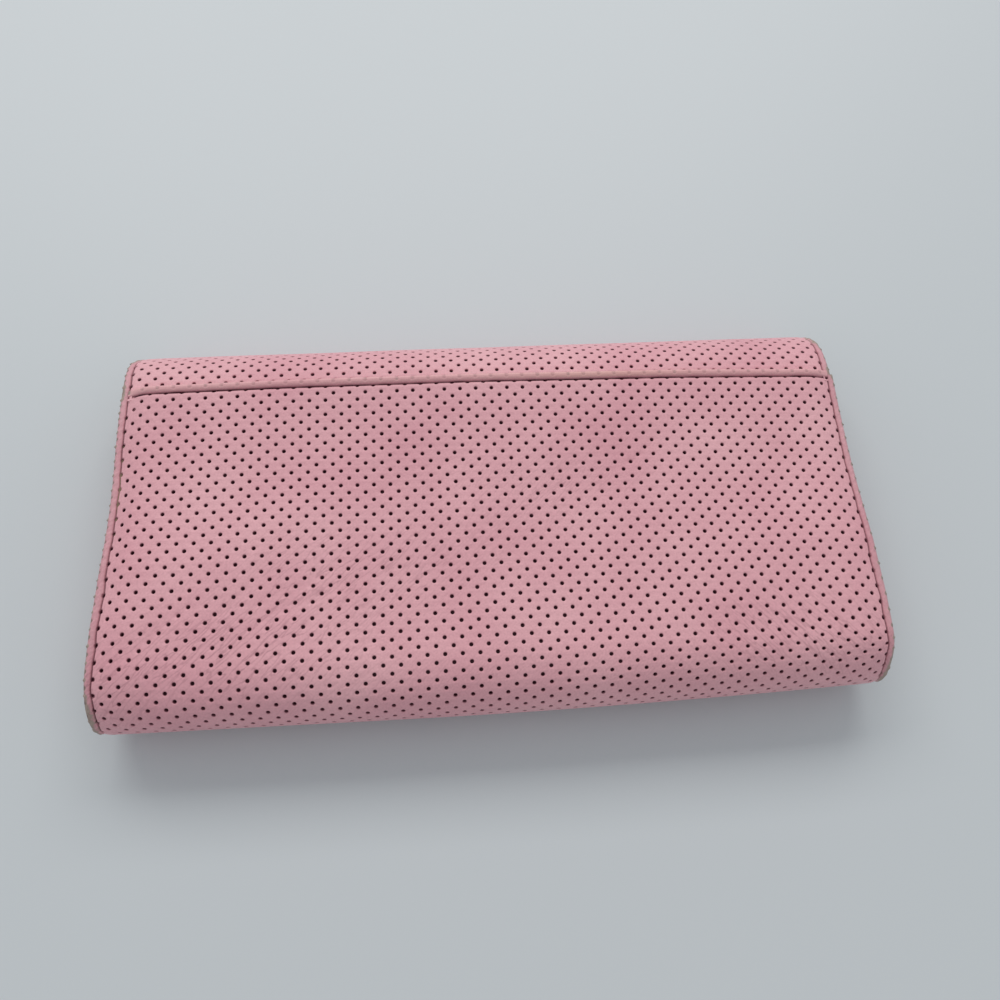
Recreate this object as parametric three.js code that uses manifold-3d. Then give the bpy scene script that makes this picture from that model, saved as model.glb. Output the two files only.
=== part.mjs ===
// Long flap wallet, closed and lying on its flap, with its back and slip pocket up.
// Millimetres. +X along the length, +Y towards the spine, +Z up from the table.
// Origin: middle of the length and depth, on the table.
import * as THREE from "three";
import { mergeVertices } from "three/addons/utils/BufferGeometryUtils.js";
import Module from "manifold-3d";

const wasm = await Module();
wasm.setup();

// ---- Driving dimensions -------------------------------------------------------------------
const LENGTH = 190;            // along the spine
const DEPTH = 104;             // bottom fold to spine
const LEATHER = 1.1;           // outer hides
const WALL = 0.8;              // front panel
const LINING = 0.5;            // lining leather and pocket walls
const BOARD = 0.5;             // stiffener
const LAY = 0.2;               // air between two layers that lie on each other
const SNAP_GAP = 1.8;          // flap lining to front apron, filled by the snap
const BILL_GAP = 4.4;          // each bill compartment
const COIN_GAP = 1.2;          // inside the closed coin pocket
const POCKET_GAP = 0.3;        // inside the flat slip pocket
const LIP_RISE = 2.0;          // how far the slip pocket's mouth stands above its middle
const LIP_BEAD = 0.5;          // extra half thickness of the turned mouth edge
const CORNER = 4;              // plan radius of the four outer corners
const FLAP_CORNER = 12;        // plan radius of the flap's free corners
const FLAP_END = 14;           // flap's free edge to the bottom fold
const SIDE_SET = 1.6;          // linings and boards sit back from the turned side edges

const FOLD_RUN = 14;           // depth taken by the round bottom fold
const FOLD_MID = 11.5;         // height of the fold's outermost line
const FOLD_END = 4;            // how far the fold's hide runs in past the fold's centre
const LIP_BACK = 20;           // slip pocket's lip to the spine's outermost line
const BAND_BEND = 26;          // where the hide starts to bend over the spine, from that line
const CREASE_BACK = 9.5;       // upper crease, from the spine's outermost line
const CREASE_DROP = 3.3;       // upper crease, below the back panel's top
const SPINE_LOW = 6;           // radius where the spine turns under into the flap
const MOUTH_BACK = 19;         // mouth of the back lining, from the spine's outermost line
const MOUTH_COIN = 26;         // mouth of the coin pocket, likewise
const MOUTH_FRONT = 30;        // mouth of the front, likewise

const SLOT_LAP = 7;            // how far a slot runs behind the one below it
const SLOT_LEATHER = 0.45;
const SLOT_STEP = 0.6;         // how far one pitch sinks a slot behind its neighbour
const SLOT_ROWS = 3;
const SLOT_WIDTH = 89;         // takes an 85.6 mm card
const SLOT_DIVIDER = 2;        // bare strip between the two columns

const GUSSET_DEPTH = 10;       // how far a gusset folds in
const GUSSET_LEATHER = 0.5;
const GUSSET_AIR = 0.25;

const SNAP_RADIUS = 6.5;
const SNAP_HOLE = 2.5;
const SNAP_AIR = 0.2;
const SNAP_RIM = 1.0;          // height of the socket
const STUD_RADIUS = 2.1;
const STUD_FLANGE = 5;
const STUD_FLANGE_HEIGHT = 0.4;
const SNAP_PLATE = 6;          // backing plate radius
const SNAP_PLATE_AIR = 0.5;
const SNAP_IN = 12;            // snap's centre to the flap's free edge
const SNAP_DOWN = 15;          // snap's centre below the apron's mouth

const ZIP_END = 12;            // chain's end to the wallet's side
const CHAIN_WIDE = 2.8;
const CHAIN_TALL = 1.6;
const TAPE = 0.35;
const TAPE_LAP = 8;            // how far a tape runs down inside the coin pocket
const ZIP_AIR = 0.3;
const STOP_LONG = 1.8;
const STOP_PROUD = 0.3;
const SLIDER_WALL = 0.6;
const SLIDER_LONG = 8;
const SLIDER_TOP = 1.0;
const SLIDER_REST = 13;        // slider's centre to the chain's end
const BRIDGE_LONG = 6;
const BRIDGE_WIDE = 1.6;
const BRIDGE_BAR = 0.8;
const BRIDGE_WINDOW = 1.5;
const PIN_RADIUS = 0.45;
const PULLER_LONG = 12.5;
const PULLER_THICK = 0.8;
const PULLER_ARM = 0.7;
const PULLER_START = 3.7;      // pivot to the puller's solid blade
const PULLER_EYE = 1.1;

// ---- Colours ------------------------------------------------------------------------------
const hide = new THREE.MeshStandardMaterial({ color: "#dc9fab", roughness: 0.55, metalness: 0 });
const lining = new THREE.MeshStandardMaterial({ color: "#d8a3aa", roughness: 0.7, metalness: 0 });
const board = new THREE.MeshStandardMaterial({ color: "#8d7b6b", roughness: 0.9, metalness: 0 });
const cloth = new THREE.MeshStandardMaterial({ color: "#c98e98", roughness: 0.95, metalness: 0 });
const metal = new THREE.MeshStandardMaterial({ color: "#c9b48a", roughness: 0.3, metalness: 1 });

// ---- Where each layer lies ----------------------------------------------------------------
const SPINE_Y = DEPTH / 2;
const FOLD_Y = -DEPTH / 2;
const FLAP_EDGE = FOLD_Y + FLAP_END;
const FRONT_MOUTH = SPINE_Y - MOUTH_FRONT;
const SNAP_Y = FLAP_EDGE + SNAP_IN;
const APRON_MOUTH = SNAP_Y + SNAP_DOWN;
const SLOT_PITCH = (FRONT_MOUTH - APRON_MOUTH) / SLOT_ROWS;
const SLOT_DEPTH = SLOT_LEATHER + SLOT_STEP * (SLOT_PITCH + SLOT_LAP) / SLOT_PITCH;

// Layers from the table up, each with its thickness and the air above it.
const LAYERS = [
  ["flapLeather", LEATHER, LAY],
  ["flapBoard", BOARD, LAY],
  ["flapLining", LINING, SNAP_GAP],
  ["cardSlots", SLOT_DEPTH, LAY],
  ["frontPanel", WALL, LAY],
  ["frontLining", LINING, BILL_GAP],
  ["coinFront", LINING, COIN_GAP],
  ["coinBack", LINING, BILL_GAP],
  ["backLining", LINING, LAY],
  ["backBoard", BOARD, LAY],
  ["backPanel", LEATHER, POCKET_GAP],
  ["pocketLining", LINING, LAY],
  ["pocketWall", LEATHER, 0],
];

function stack(layers) {
  const levels = {};
  let z = 0;
  for (const [name, thickness, air] of layers) {
    levels[name] = { low: z, high: z + thickness };
    z += thickness + air;
  }
  return levels;
}

const at = stack(LAYERS);
const SIDE = LENGTH / 2;
const FOLD_CENTRE = FOLD_Y + FOLD_RUN;
const INNER_START = FOLD_CENTRE - FOLD_END + 1;   // inner layers start just past the fold's hide
const LIP_Y = SPINE_Y - LIP_BACK;
const INNER_SIDE = SIDE - SIDE_SET;

// ---- Solids -------------------------------------------------------------------------------
function solid(geometry) {
  const bare = geometry.clone();
  bare.deleteAttribute("normal");
  bare.deleteAttribute("uv");
  const merged = mergeVertices(bare, 1e-4);
  return new wasm.Manifold(new wasm.Mesh({
    numProp: 3,
    vertProperties: new Float32Array(merged.attributes.position.array),
    triVerts: new Uint32Array(merged.index.array),
  }));
}

function geometryOf(body) {
  const mesh = body.getMesh();
  const geometry = new THREE.BufferGeometry();
  geometry.setAttribute("position", new THREE.BufferAttribute(new Float32Array(mesh.vertProperties), 3));
  geometry.setIndex(new THREE.BufferAttribute(new Uint32Array(mesh.triVerts), 1));
  geometry.computeVertexNormals();
  return geometry;
}

// An outline extruded along one axis: u and v are the outline's own axes.
function extrude(outline, u, v, along, low, high) {
  const shape = outline instanceof THREE.Shape ? outline : new THREE.Shape(outline);
  const geometry = new THREE.ExtrudeGeometry(shape, { depth: high - low, bevelEnabled: false, curveSegments: 10 });
  geometry.translate(0, 0, low);
  geometry.applyMatrix4(new THREE.Matrix4().makeBasis(u, v, along));
  return geometry;
}

const X = new THREE.Vector3(1, 0, 0);
const Y = new THREE.Vector3(0, 1, 0);
const Z = new THREE.Vector3(0, 0, 1);
const alongX = (outline, low, high) => extrude(outline, Y, Z, X, low, high);      // outline in Y, Z
const alongY = (outline, low, high) => extrude(outline, Z, X, Y, low, high);      // outline in Z, X
const alongZ = (outline, low, high) => extrude(outline, X, Y, Z, low, high);      // outline in X, Y

// A rectangle with its own corner radius at the low and the high end of Y.
function rectangle(xLow, xHigh, yLow, yHigh, lowRadius, highRadius) {
  const shape = new THREE.Shape();
  shape.moveTo(xLow + lowRadius, yLow);
  shape.lineTo(xHigh - lowRadius, yLow);
  if (lowRadius) shape.absarc(xHigh - lowRadius, yLow + lowRadius, lowRadius, -Math.PI / 2, 0);
  shape.lineTo(xHigh, yHigh - highRadius);
  if (highRadius) shape.absarc(xHigh - highRadius, yHigh - highRadius, highRadius, 0, Math.PI / 2);
  shape.lineTo(xLow + highRadius, yHigh);
  if (highRadius) shape.absarc(xLow + highRadius, yHigh - highRadius, highRadius, Math.PI / 2, Math.PI);
  shape.lineTo(xLow, yLow + lowRadius);
  if (lowRadius) shape.absarc(xLow + lowRadius, yLow + lowRadius, lowRadius, Math.PI, 1.5 * Math.PI);
  return shape;
}

const box = (xLow, xHigh, yLow, yHigh, zLow, zHigh) =>
  alongZ(rectangle(xLow, xHigh, yLow, yHigh, 0, 0), zLow, zHigh);

// A flat layer with square sides, between two Y values, on one level of the stack.
const layer = (level, side, yLow, yHigh, radius = 0) =>
  alongZ(rectangle(-side, side, yLow, yHigh, 0, radius), level.low, level.high);

// The line moved to its right-hand side, square to itself.
function offsetLine(line, distance) {
  return line.map((point, i) => {
    const before = line[Math.max(i - 1, 0)];
    const after = line[Math.min(i + 1, line.length - 1)];
    const run = after.clone().sub(before).normalize();
    return new THREE.Vector2(point.x + run.y * distance, point.y - run.x * distance);
  });
}

// A closed outline between two depths on the right of a line.
const strap = (line, near, far) => [...offsetLine(line, near), ...offsetLine(line, far).reverse()];

// Everything of the shape that lies within the wallet's outline seen from above.
function trimmed(geometry, outline) {
  const prism = solid(alongZ(outline, -1, at.pocketWall.high + LIP_RISE + 2 * LEATHER));
  return geometryOf(solid(geometry).intersect(prism));
}

const wholeOutline = rectangle(-SIDE, SIDE, FOLD_Y - 1, SPINE_Y + 1e-3, 0, CORNER);
const flapOutline = rectangle(-SIDE, SIDE, FLAP_EDGE, SPINE_Y + 1e-3, FLAP_CORNER, CORNER);

// ---- The long hide: back, spine and flap in one line --------------------------------------
const UPPER_CREASE = new THREE.Vector2(SPINE_Y - CREASE_BACK, at.backPanel.high - CREASE_DROP);
const BEND_START = new THREE.Vector2(SPINE_Y - BAND_BEND, at.backPanel.high);
const CREASE_RUN = new THREE.Vector2(3.5, -2);    // direction of the hide at the upper crease
const CREASE_GAP = 0.15;                          // half the cut between two bodies at a crease

function bandLine() {
  const path = new THREE.Path();
  path.moveTo(INNER_START, BEND_START.y);
  path.lineTo(BEND_START.x, BEND_START.y);
  path.bezierCurveTo(
    BEND_START.x + 8, BEND_START.y,
    UPPER_CREASE.x - CREASE_RUN.x, UPPER_CREASE.y - CREASE_RUN.y,
    UPPER_CREASE.x, UPPER_CREASE.y);
  return path.getPoints(12);
}

function spineLine() {
  const path = new THREE.Path();
  path.moveTo(UPPER_CREASE.x, UPPER_CREASE.y);
  path.bezierCurveTo(
    UPPER_CREASE.x + 1.4 * CREASE_RUN.x, UPPER_CREASE.y + 1.4 * CREASE_RUN.y,
    SPINE_Y, SPINE_LOW * 1.75,
    SPINE_Y, SPINE_LOW);
  path.absarc(SPINE_Y - SPINE_LOW, SPINE_LOW, SPINE_LOW, 0, -Math.PI / 4, true);
  return path.getPoints(10);
}

function flapLine() {
  const path = new THREE.Path();
  path.absarc(SPINE_Y - SPINE_LOW, SPINE_LOW, SPINE_LOW, -Math.PI / 4, -Math.PI / 2, true);
  path.lineTo(FLAP_EDGE, 0);
  return path.getPoints(8);
}

// Moves a line's two ends back along itself, so that neighbours don't touch at a crease.
function shortened(line, startCut, endCut) {
  const points = line.map((point) => point.clone());
  const last = points.length - 1;
  const startRun = points[1].clone().sub(points[0]).normalize();
  const endRun = points[last - 1].clone().sub(points[last]).normalize();
  points[0].addScaledVector(startRun, startCut);
  points[last].addScaledVector(endRun, endCut);
  return points;
}

const backPanel = () =>
  trimmed(alongX(strap(shortened(bandLine(), 0, CREASE_GAP), 0, LEATHER), -SIDE, SIDE), wholeOutline);

const spineLeather = () =>
  trimmed(alongX(strap(shortened(spineLine(), CREASE_GAP, CREASE_GAP), 0, LEATHER), -SIDE, SIDE), wholeOutline);

const flapLeather = () =>
  trimmed(alongX(strap(shortened(flapLine(), CREASE_GAP, 0), 0, LEATHER), -SIDE, SIDE), flapOutline);

function spineLining() {
  const inner = spineLine().slice(2, -3);
  const near = LEATHER + LAY;
  return alongX(strap(inner, near, near + LINING), -INNER_SIDE + CORNER, INNER_SIDE - CORNER);
}

// ---- Slip pocket --------------------------------------------------------------------------
// Height of the pocket's outer face above its flat middle: it grows with the square of the
// distance from the middle of the depth to the lip.
const lipRise = (y) => LIP_RISE * (Math.max(0, y) / LIP_Y) ** 2;

// Outer line of the slip pocket's wall, from the front, round the bottom fold, to the lip.
function pocketLine() {
  const front = at.cardSlots.low + LAY;
  const path = new THREE.Path();
  path.moveTo(FOLD_CENTRE - FOLD_END, front);
  path.lineTo(FOLD_CENTRE - FOLD_END - 1, front);
  path.bezierCurveTo(FOLD_Y + 3, front, FOLD_Y, front + 2.5, FOLD_Y, FOLD_MID);
  path.bezierCurveTo(
    FOLD_Y, (FOLD_MID + at.pocketWall.high) / 2 + 1,
    FOLD_Y + FOLD_RUN * 0.45, at.pocketWall.high,
    FOLD_CENTRE, at.pocketWall.high);
  path.lineTo(0, at.pocketWall.high);
  const fold = path.getPoints(12);
  const steps = 8;
  const rise = Array.from({ length: steps }, (_, i) => {
    const y = LIP_Y * (i + 1) / steps;
    return new THREE.Vector2(y, at.pocketWall.high + lipRise(y));
  });
  return [...fold, ...rise];
}

function pocketWall() {
  const line = pocketLine();
  const wall = solid(alongX(strap(line, 0, LEATHER), -SIDE, SIDE));
  const lipZ = at.pocketWall.high + LIP_RISE - LEATHER / 2 - LIP_BEAD;
  const bead = new THREE.Shape();
  bead.absarc(LIP_Y - LEATHER / 2, lipZ, LEATHER / 2 + LIP_BEAD, 0, 2 * Math.PI);
  const joined = wall.add(solid(alongX(bead, -SIDE, SIDE)));
  return trimmed(geometryOf(joined), wholeOutline);
}

function pocketLining() {
  const line = pocketLine().filter((point) => point.x > FOLD_CENTRE + 1 || point.x === FOLD_CENTRE)
    .filter((point) => point.y >= at.pocketWall.high - 1e-6 && point.x < LIP_Y - 1);
  const near = LEATHER + LAY;
  return alongX(strap(line, near, near + LINING), -INNER_SIDE, INNER_SIDE);
}

// ---- Gussets ------------------------------------------------------------------------------
// A strip folded inwards between two walls: seen along Y it is a V lying on its side.
function gusset(hand, zLow, zHigh, yHigh) {
  const outer = hand * (INNER_SIDE - LAY);
  const fold = outer - hand * GUSSET_DEPTH;
  const low = zLow + GUSSET_AIR;
  const high = zHigh - GUSSET_AIR;
  const middle = (low + high) / 2;
  const outline = [
    new THREE.Vector2(low, outer),
    new THREE.Vector2(middle - GUSSET_LEATHER / 2, fold),
    new THREE.Vector2(middle + GUSSET_LEATHER / 2, fold),
    new THREE.Vector2(high, outer),
    new THREE.Vector2(high - GUSSET_LEATHER, outer),
    new THREE.Vector2(middle, fold + hand * 2 * GUSSET_LEATHER),
    new THREE.Vector2(low + GUSSET_LEATHER, outer),
  ];
  return alongY(outline, INNER_START, yHigh);
}

// ---- Snap ---------------------------------------------------------------------------------
// A turned piece about a vertical axis through the snap's centre.
function turned(profile, zBase) {
  const geometry = new THREE.LatheGeometry(profile.map(([r, z]) => new THREE.Vector2(r, z)), 32);
  geometry.rotateX(Math.PI / 2);
  geometry.translate(0, SNAP_Y, zBase);
  return geometryOf(solid(geometry));
}

const disc = (radius, height) => [[0, 0], [radius, 0], [radius, height], [0, height]];

function snapSocket() {
  const edge = 0.3;
  return turned([
    [SNAP_HOLE, 0], [SNAP_RADIUS, 0], [SNAP_RADIUS, SNAP_RIM - edge],
    [SNAP_RADIUS - edge, SNAP_RIM], [SNAP_HOLE, SNAP_RIM], [SNAP_HOLE, 0],
  ], at.flapLining.high + SNAP_AIR / 2);
}

function snapStud() {
  const tip = at.flapLining.high + SNAP_AIR;
  const flangeLow = at.cardSlots.low - SNAP_AIR / 2 - STUD_FLANGE_HEIGHT;
  return turned([
    [0, 0], [STUD_RADIUS - 0.3, 0], [STUD_RADIUS, 0.3], [STUD_RADIUS, flangeLow - tip],
    [STUD_FLANGE, flangeLow - tip], [STUD_FLANGE, flangeLow - tip + STUD_FLANGE_HEIGHT],
    [0, flangeLow - tip + STUD_FLANGE_HEIGHT],
  ], tip);
}

function snapSocketPlate() {
  return turned(disc(SNAP_PLATE, BOARD), at.flapBoard.low);
}

function snapStudPlate() {
  const room = at.frontPanel.low - at.cardSlots.low - SLOT_LEATHER;
  const height = room - 2 * SNAP_AIR;
  return turned(disc(SNAP_PLATE, height), at.cardSlots.low + SLOT_LEATHER + SNAP_AIR);
}

// ---- Flap ---------------------------------------------------------------------------------
const flapInner = rectangle(-INNER_SIDE, INNER_SIDE,
  FLAP_EDGE + SIDE_SET, SPINE_Y - SPINE_LOW - SIDE_SET, FLAP_CORNER - SIDE_SET, 0);

function flapBoard() {
  const hole = new THREE.Path();
  hole.absarc(0, SNAP_Y, SNAP_PLATE + SNAP_PLATE_AIR, 0, 2 * Math.PI, true);
  const outline = flapInner.clone();
  outline.holes.push(hole);
  return alongZ(outline, at.flapBoard.low, at.flapBoard.high);
}

const flapLining = () => alongZ(flapInner, at.flapLining.low, at.flapLining.high);

// ---- Front --------------------------------------------------------------------------------
const frontPanel = () => layer(at.frontPanel, INNER_SIDE, INNER_START, FRONT_MOUTH, CORNER);
const frontLining = () => layer(at.frontLining, INNER_SIDE, INNER_START, FRONT_MOUTH, CORNER);

const frontApron = () => alongZ(
  rectangle(-INNER_SIDE, INNER_SIDE, INNER_START, APRON_MOUTH, 0, 0),
  at.cardSlots.low, at.cardSlots.low + SLOT_LEATHER);

// A card slot leans back like a roof tile, so that its foot lies behind the next mouth.
function cardSlot(hand, row) {
  const mouth = FRONT_MOUTH - row * SLOT_PITCH;
  const foot = mouth - SLOT_PITCH - SLOT_LAP;
  const low = at.cardSlots.low;
  const sunk = low + SLOT_DEPTH - SLOT_LEATHER;
  const outline = [
    new THREE.Vector2(mouth, low), new THREE.Vector2(mouth, low + SLOT_LEATHER),
    new THREE.Vector2(foot, sunk + SLOT_LEATHER), new THREE.Vector2(foot, sunk),
  ];
  const near = hand * SLOT_DIVIDER / 2;
  const far = hand * (SLOT_DIVIDER / 2 + SLOT_WIDTH);
  return alongX(outline, Math.min(near, far), Math.max(near, far));
}

// ---- Coin pocket and its zip --------------------------------------------------------------
const COIN_MOUTH = SPINE_Y - MOUTH_COIN;
const COIN_MID = (at.coinFront.low + at.coinBack.high) / 2;
const CHAIN_Y = COIN_MOUTH + ZIP_AIR;
const CHAIN_END = SIDE - ZIP_END;
const SLIDER_X = CHAIN_END - SLIDER_REST;
const SLIDER_DECK = CHAIN_Y + CHAIN_TALL + ZIP_AIR;         // underside of the slider's top plate
const PIVOT_Y = SLIDER_DECK + SLIDER_TOP + BRIDGE_WINDOW / 2;

const coinWall = (level) => layer(level, INNER_SIDE, INNER_START, COIN_MOUTH);

function zipTape(zLow) {
  return box(-CHAIN_END, CHAIN_END, COIN_MOUTH - TAPE_LAP, COIN_MOUTH, zLow, zLow + TAPE);
}

const zipChain = () => box(-CHAIN_END, CHAIN_END, CHAIN_Y, CHAIN_Y + CHAIN_TALL,
  COIN_MID - CHAIN_WIDE / 2, COIN_MID + CHAIN_WIDE / 2);

function zipStop(hand) {
  const near = hand * (CHAIN_END + ZIP_AIR);
  const far = near + hand * STOP_LONG;
  const half = CHAIN_WIDE / 2 + STOP_PROUD;
  return box(Math.min(near, far), Math.max(near, far), CHAIN_Y - STOP_PROUD / 2,
    CHAIN_Y + CHAIN_TALL + STOP_PROUD / 2, COIN_MID - half, COIN_MID + half);
}

// The slider straddles the chain: a top plate, two cheeks and an arched bridge for the puller.
function zipSlider() {
  const half = SLIDER_LONG / 2;
  const inner = CHAIN_WIDE / 2 + ZIP_AIR;
  const outer = inner + SLIDER_WALL;
  const top = SLIDER_DECK + SLIDER_TOP;
  let body = solid(box(-half, half, SLIDER_DECK, top, COIN_MID - outer, COIN_MID + outer));
  for (const hand of [-1, 1]) {
    const near = COIN_MID + hand * inner;
    const far = COIN_MID + hand * outer;
    const cheek = box(-half, half, CHAIN_Y, top, Math.min(near, far), Math.max(near, far));
    body = body.add(solid(cheek));
  }
  const arch = new THREE.Shape();
  const reach = BRIDGE_LONG / 2;
  const crown = top + BRIDGE_WINDOW + BRIDGE_BAR;
  arch.moveTo(-reach, top - SLIDER_TOP / 2);
  arch.lineTo(reach, top - SLIDER_TOP / 2);
  arch.bezierCurveTo(reach, crown - 0.4, reach - 1, crown, reach - 1.6, crown);
  arch.lineTo(-reach + 1.6, crown);
  arch.bezierCurveTo(-reach + 1, crown, -reach, crown - 0.4, -reach, top - SLIDER_TOP / 2);
  const window = new THREE.Path();
  window.absellipse(0, top + BRIDGE_WINDOW / 2, reach - BRIDGE_BAR, BRIDGE_WINDOW / 2, 0, 2 * Math.PI, true);
  arch.holes.push(window);
  const bridge = alongZ(arch, COIN_MID - BRIDGE_WIDE / 2, COIN_MID + BRIDGE_WIDE / 2);
  body = body.add(solid(bridge));
  const geometry = geometryOf(body);
  geometry.translate(SLIDER_X, 0, 0);
  return geometry;
}

// The puller lies flat along the chain: a pin under the bridge, two arms and a round-ended blade.
function zipPuller() {
  const inner = BRIDGE_WIDE / 2 + ZIP_AIR;
  const outer = inner + PULLER_ARM;
  const pin = new THREE.CylinderGeometry(PIN_RADIUS, PIN_RADIUS, 2 * inner + PULLER_ARM, 16);
  pin.rotateX(Math.PI / 2);
  let body = solid(pin);
  for (const hand of [-1, 1]) {
    const low = Math.min(hand * inner, hand * outer);
    const arm = box(-PULLER_START - 0.5, PIN_RADIUS, -PULLER_THICK / 2, PULLER_THICK / 2, low, low + PULLER_ARM);
    body = body.add(solid(arm));
  }
  const blade = new THREE.Shape();
  blade.moveTo(-PULLER_START, -outer);
  blade.lineTo(-PULLER_START, outer);
  blade.lineTo(-PULLER_LONG + outer, outer);
  blade.absarc(-PULLER_LONG + outer, 0, outer, Math.PI / 2, 1.5 * Math.PI);
  const eye = new THREE.Path();
  eye.absarc(-PULLER_LONG + outer + 0.3, 0, PULLER_EYE, 0, 2 * Math.PI, true);
  blade.holes.push(eye);
  const plate = extrude(blade, X, Z, new THREE.Vector3(0, -1, 0), -PULLER_THICK / 2, PULLER_THICK / 2);
  body = body.add(solid(plate));
  const geometry = geometryOf(body);
  geometry.translate(SLIDER_X, PIVOT_Y, COIN_MID);
  return geometry;
}

// ---- Assembly -----------------------------------------------------------------------------
const wallet = new THREE.Group();

function piece(name, geometry, material) {
  const mesh = new THREE.Mesh(geometry, material);
  mesh.name = name;
  wallet.add(mesh);
}

piece("flap_leather", flapLeather(), hide);
piece("flap_board", flapBoard(), board);
piece("flap_lining", flapLining(), lining);
piece("snap_socket", snapSocket(), metal);
piece("snap_socket_plate", snapSocketPlate(), metal);

piece("spine_leather", spineLeather(), hide);
piece("spine_lining", spineLining(), lining);

piece("back_panel", backPanel(), hide);
piece("back_board", layer(at.backBoard, INNER_SIDE, INNER_START, BEND_START.x + 2), board);
piece("back_lining", layer(at.backLining, INNER_SIDE, INNER_START, SPINE_Y - MOUTH_BACK), lining);
piece("pocket_lining", pocketLining(), cloth);
piece("pocket_wall", pocketWall(), hide);

piece("coin_front_wall", coinWall(at.coinFront), lining);
piece("coin_back_wall", coinWall(at.coinBack), lining);
piece("zip_tape_front", zipTape(at.coinFront.high + LAY / 2), cloth);
piece("zip_tape_back", zipTape(at.coinBack.low - LAY / 2 - TAPE), cloth);
piece("zip_chain", zipChain(), metal);
piece("zip_slider", zipSlider(), metal);
piece("zip_puller", zipPuller(), metal);

for (const [side, hand] of [["left", -1], ["right", 1]]) {
  piece(`zip_stop_${side}`, zipStop(hand), metal);
  piece(`back_gusset_${side}`,
    gusset(hand, at.coinBack.high, at.backLining.low, COIN_MOUTH - ZIP_AIR), lining);
  piece(`front_gusset_${side}`,
    gusset(hand, at.frontLining.high, at.coinFront.low, FRONT_MOUTH - CORNER), lining);
  for (let row = 0; row < SLOT_ROWS; row++) {
    piece(`card_slot_${side}_${row + 1}`, cardSlot(hand, row), lining);
  }
}

piece("front_panel", frontPanel(), hide);
piece("front_lining", frontLining(), lining);
piece("front_apron", frontApron(), lining);
piece("snap_stud", snapStud(), metal);
piece("snap_stud_plate", snapStudPlate(), metal);

export default wallet;
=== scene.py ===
# %% [markdown]
# # A long flap wallet in perforated leather
#
# The wallet lies closed on its flap, with the slip pocket on its back facing up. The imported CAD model
# gives every size and every joint. This lesson replaces its plain leathers with surfaces that are worked
# out with numpy: a hide is a profile (a line in depth and height) carried along the wallet's length,
# and every punched hole in it is real geometry. Units are metres, the frame is the CAD model's.

# %% Load the frame
import math

import bpy
import numpy as np
from mathutils import Matrix, Vector


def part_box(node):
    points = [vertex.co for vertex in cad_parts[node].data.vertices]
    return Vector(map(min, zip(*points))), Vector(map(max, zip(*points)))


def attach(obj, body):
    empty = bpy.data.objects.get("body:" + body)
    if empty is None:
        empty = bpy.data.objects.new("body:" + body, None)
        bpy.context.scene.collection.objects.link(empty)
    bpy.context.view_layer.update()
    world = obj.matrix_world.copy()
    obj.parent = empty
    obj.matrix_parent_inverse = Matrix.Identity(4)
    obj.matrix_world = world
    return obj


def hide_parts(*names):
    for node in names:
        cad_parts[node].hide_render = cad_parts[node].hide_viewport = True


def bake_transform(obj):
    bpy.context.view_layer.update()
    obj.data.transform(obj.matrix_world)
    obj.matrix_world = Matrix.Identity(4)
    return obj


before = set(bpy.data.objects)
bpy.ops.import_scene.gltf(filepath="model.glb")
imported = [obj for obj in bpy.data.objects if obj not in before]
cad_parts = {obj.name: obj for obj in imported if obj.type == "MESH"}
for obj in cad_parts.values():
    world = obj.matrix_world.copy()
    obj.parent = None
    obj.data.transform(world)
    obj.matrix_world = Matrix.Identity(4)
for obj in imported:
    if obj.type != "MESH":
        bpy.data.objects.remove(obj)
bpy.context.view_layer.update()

MM = 0.001

# %% [markdown]
# ## Camera, floor and light
#
# The camera looks down on the back of the wallet from in front of its bottom fold, 22 degrees off the
# vertical. A camera is a place and three directions; the rows below are its right, up and backward
# directions. The light is one broad soft source beyond the spine, as from a window, and a pale sky that
# fills the shadows. The floor is a matt white table top.

# %% Camera
scene = bpy.context.scene
scene.view_settings.view_transform = "Standard"


def rotation_about(axis, angle):
    """Rodrigues' formula: identity + sin(angle) times the cross matrix + (1 - cos(angle)) times its
    square."""
    x, y, z = axis
    cross = np.array([[0, -z, y], [z, 0, -x], [-y, x, 0]])
    return np.eye(3) + math.sin(angle) * cross + (1 - math.cos(angle)) * cross @ cross


CAMERA_PLACE = np.array([-0.0116, -0.0750, 0.2111])
CAMERA_TURN = np.array([2.76779, -0.06696, 0.08080])        # axis times angle, to axes right and down
CAMERA_LENS = 29.44

turn = np.linalg.norm(CAMERA_TURN)
view_axes = rotation_about(CAMERA_TURN / turn, turn)
camera = bpy.data.objects.new("camera", bpy.data.cameras.new("camera"))
scene.collection.objects.link(camera)
camera.data.lens = CAMERA_LENS
camera.data.clip_start, camera.data.clip_end = 0.01, 10
placed = np.eye(4)
placed[:3, 0], placed[:3, 1], placed[:3, 2] = view_axes[0], -view_axes[1], -view_axes[2]
placed[:3, 3] = CAMERA_PLACE
camera.matrix_world = Matrix(placed.tolist())
scene.camera = camera
print("camera height, mm:", round(CAMERA_PLACE[2] / MM, 1))


# %% Colours and node helpers
def linear(code, alpha=1.0):
    """Turns an sRGB hex code into the linear colour that a shader socket expects."""
    parts = [int(code[i:i + 2], 16) / 255 for i in (1, 3, 5)]
    return (*[c / 12.92 if c <= 0.04045 else ((c + 0.055) / 1.055) ** 2.4 for c in parts], alpha)


def add_node(tree, kind, settings=(), **inputs):
    """Adds a node, sets its properties from settings, and fills or links its inputs by name or index."""
    node = tree.nodes.new(kind)
    for key, value in dict(settings).items():
        setattr(node, key, value)
    for key, value in inputs.items():
        by_index = key[0] == "i" and key[1:].isdigit()
        socket = node.inputs[int(key[1:]) if by_index else key.replace("_", " ")]
        if isinstance(value, bpy.types.NodeSocket):
            tree.links.new(value, socket)
        else:
            socket.default_value = value
    return node


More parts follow.
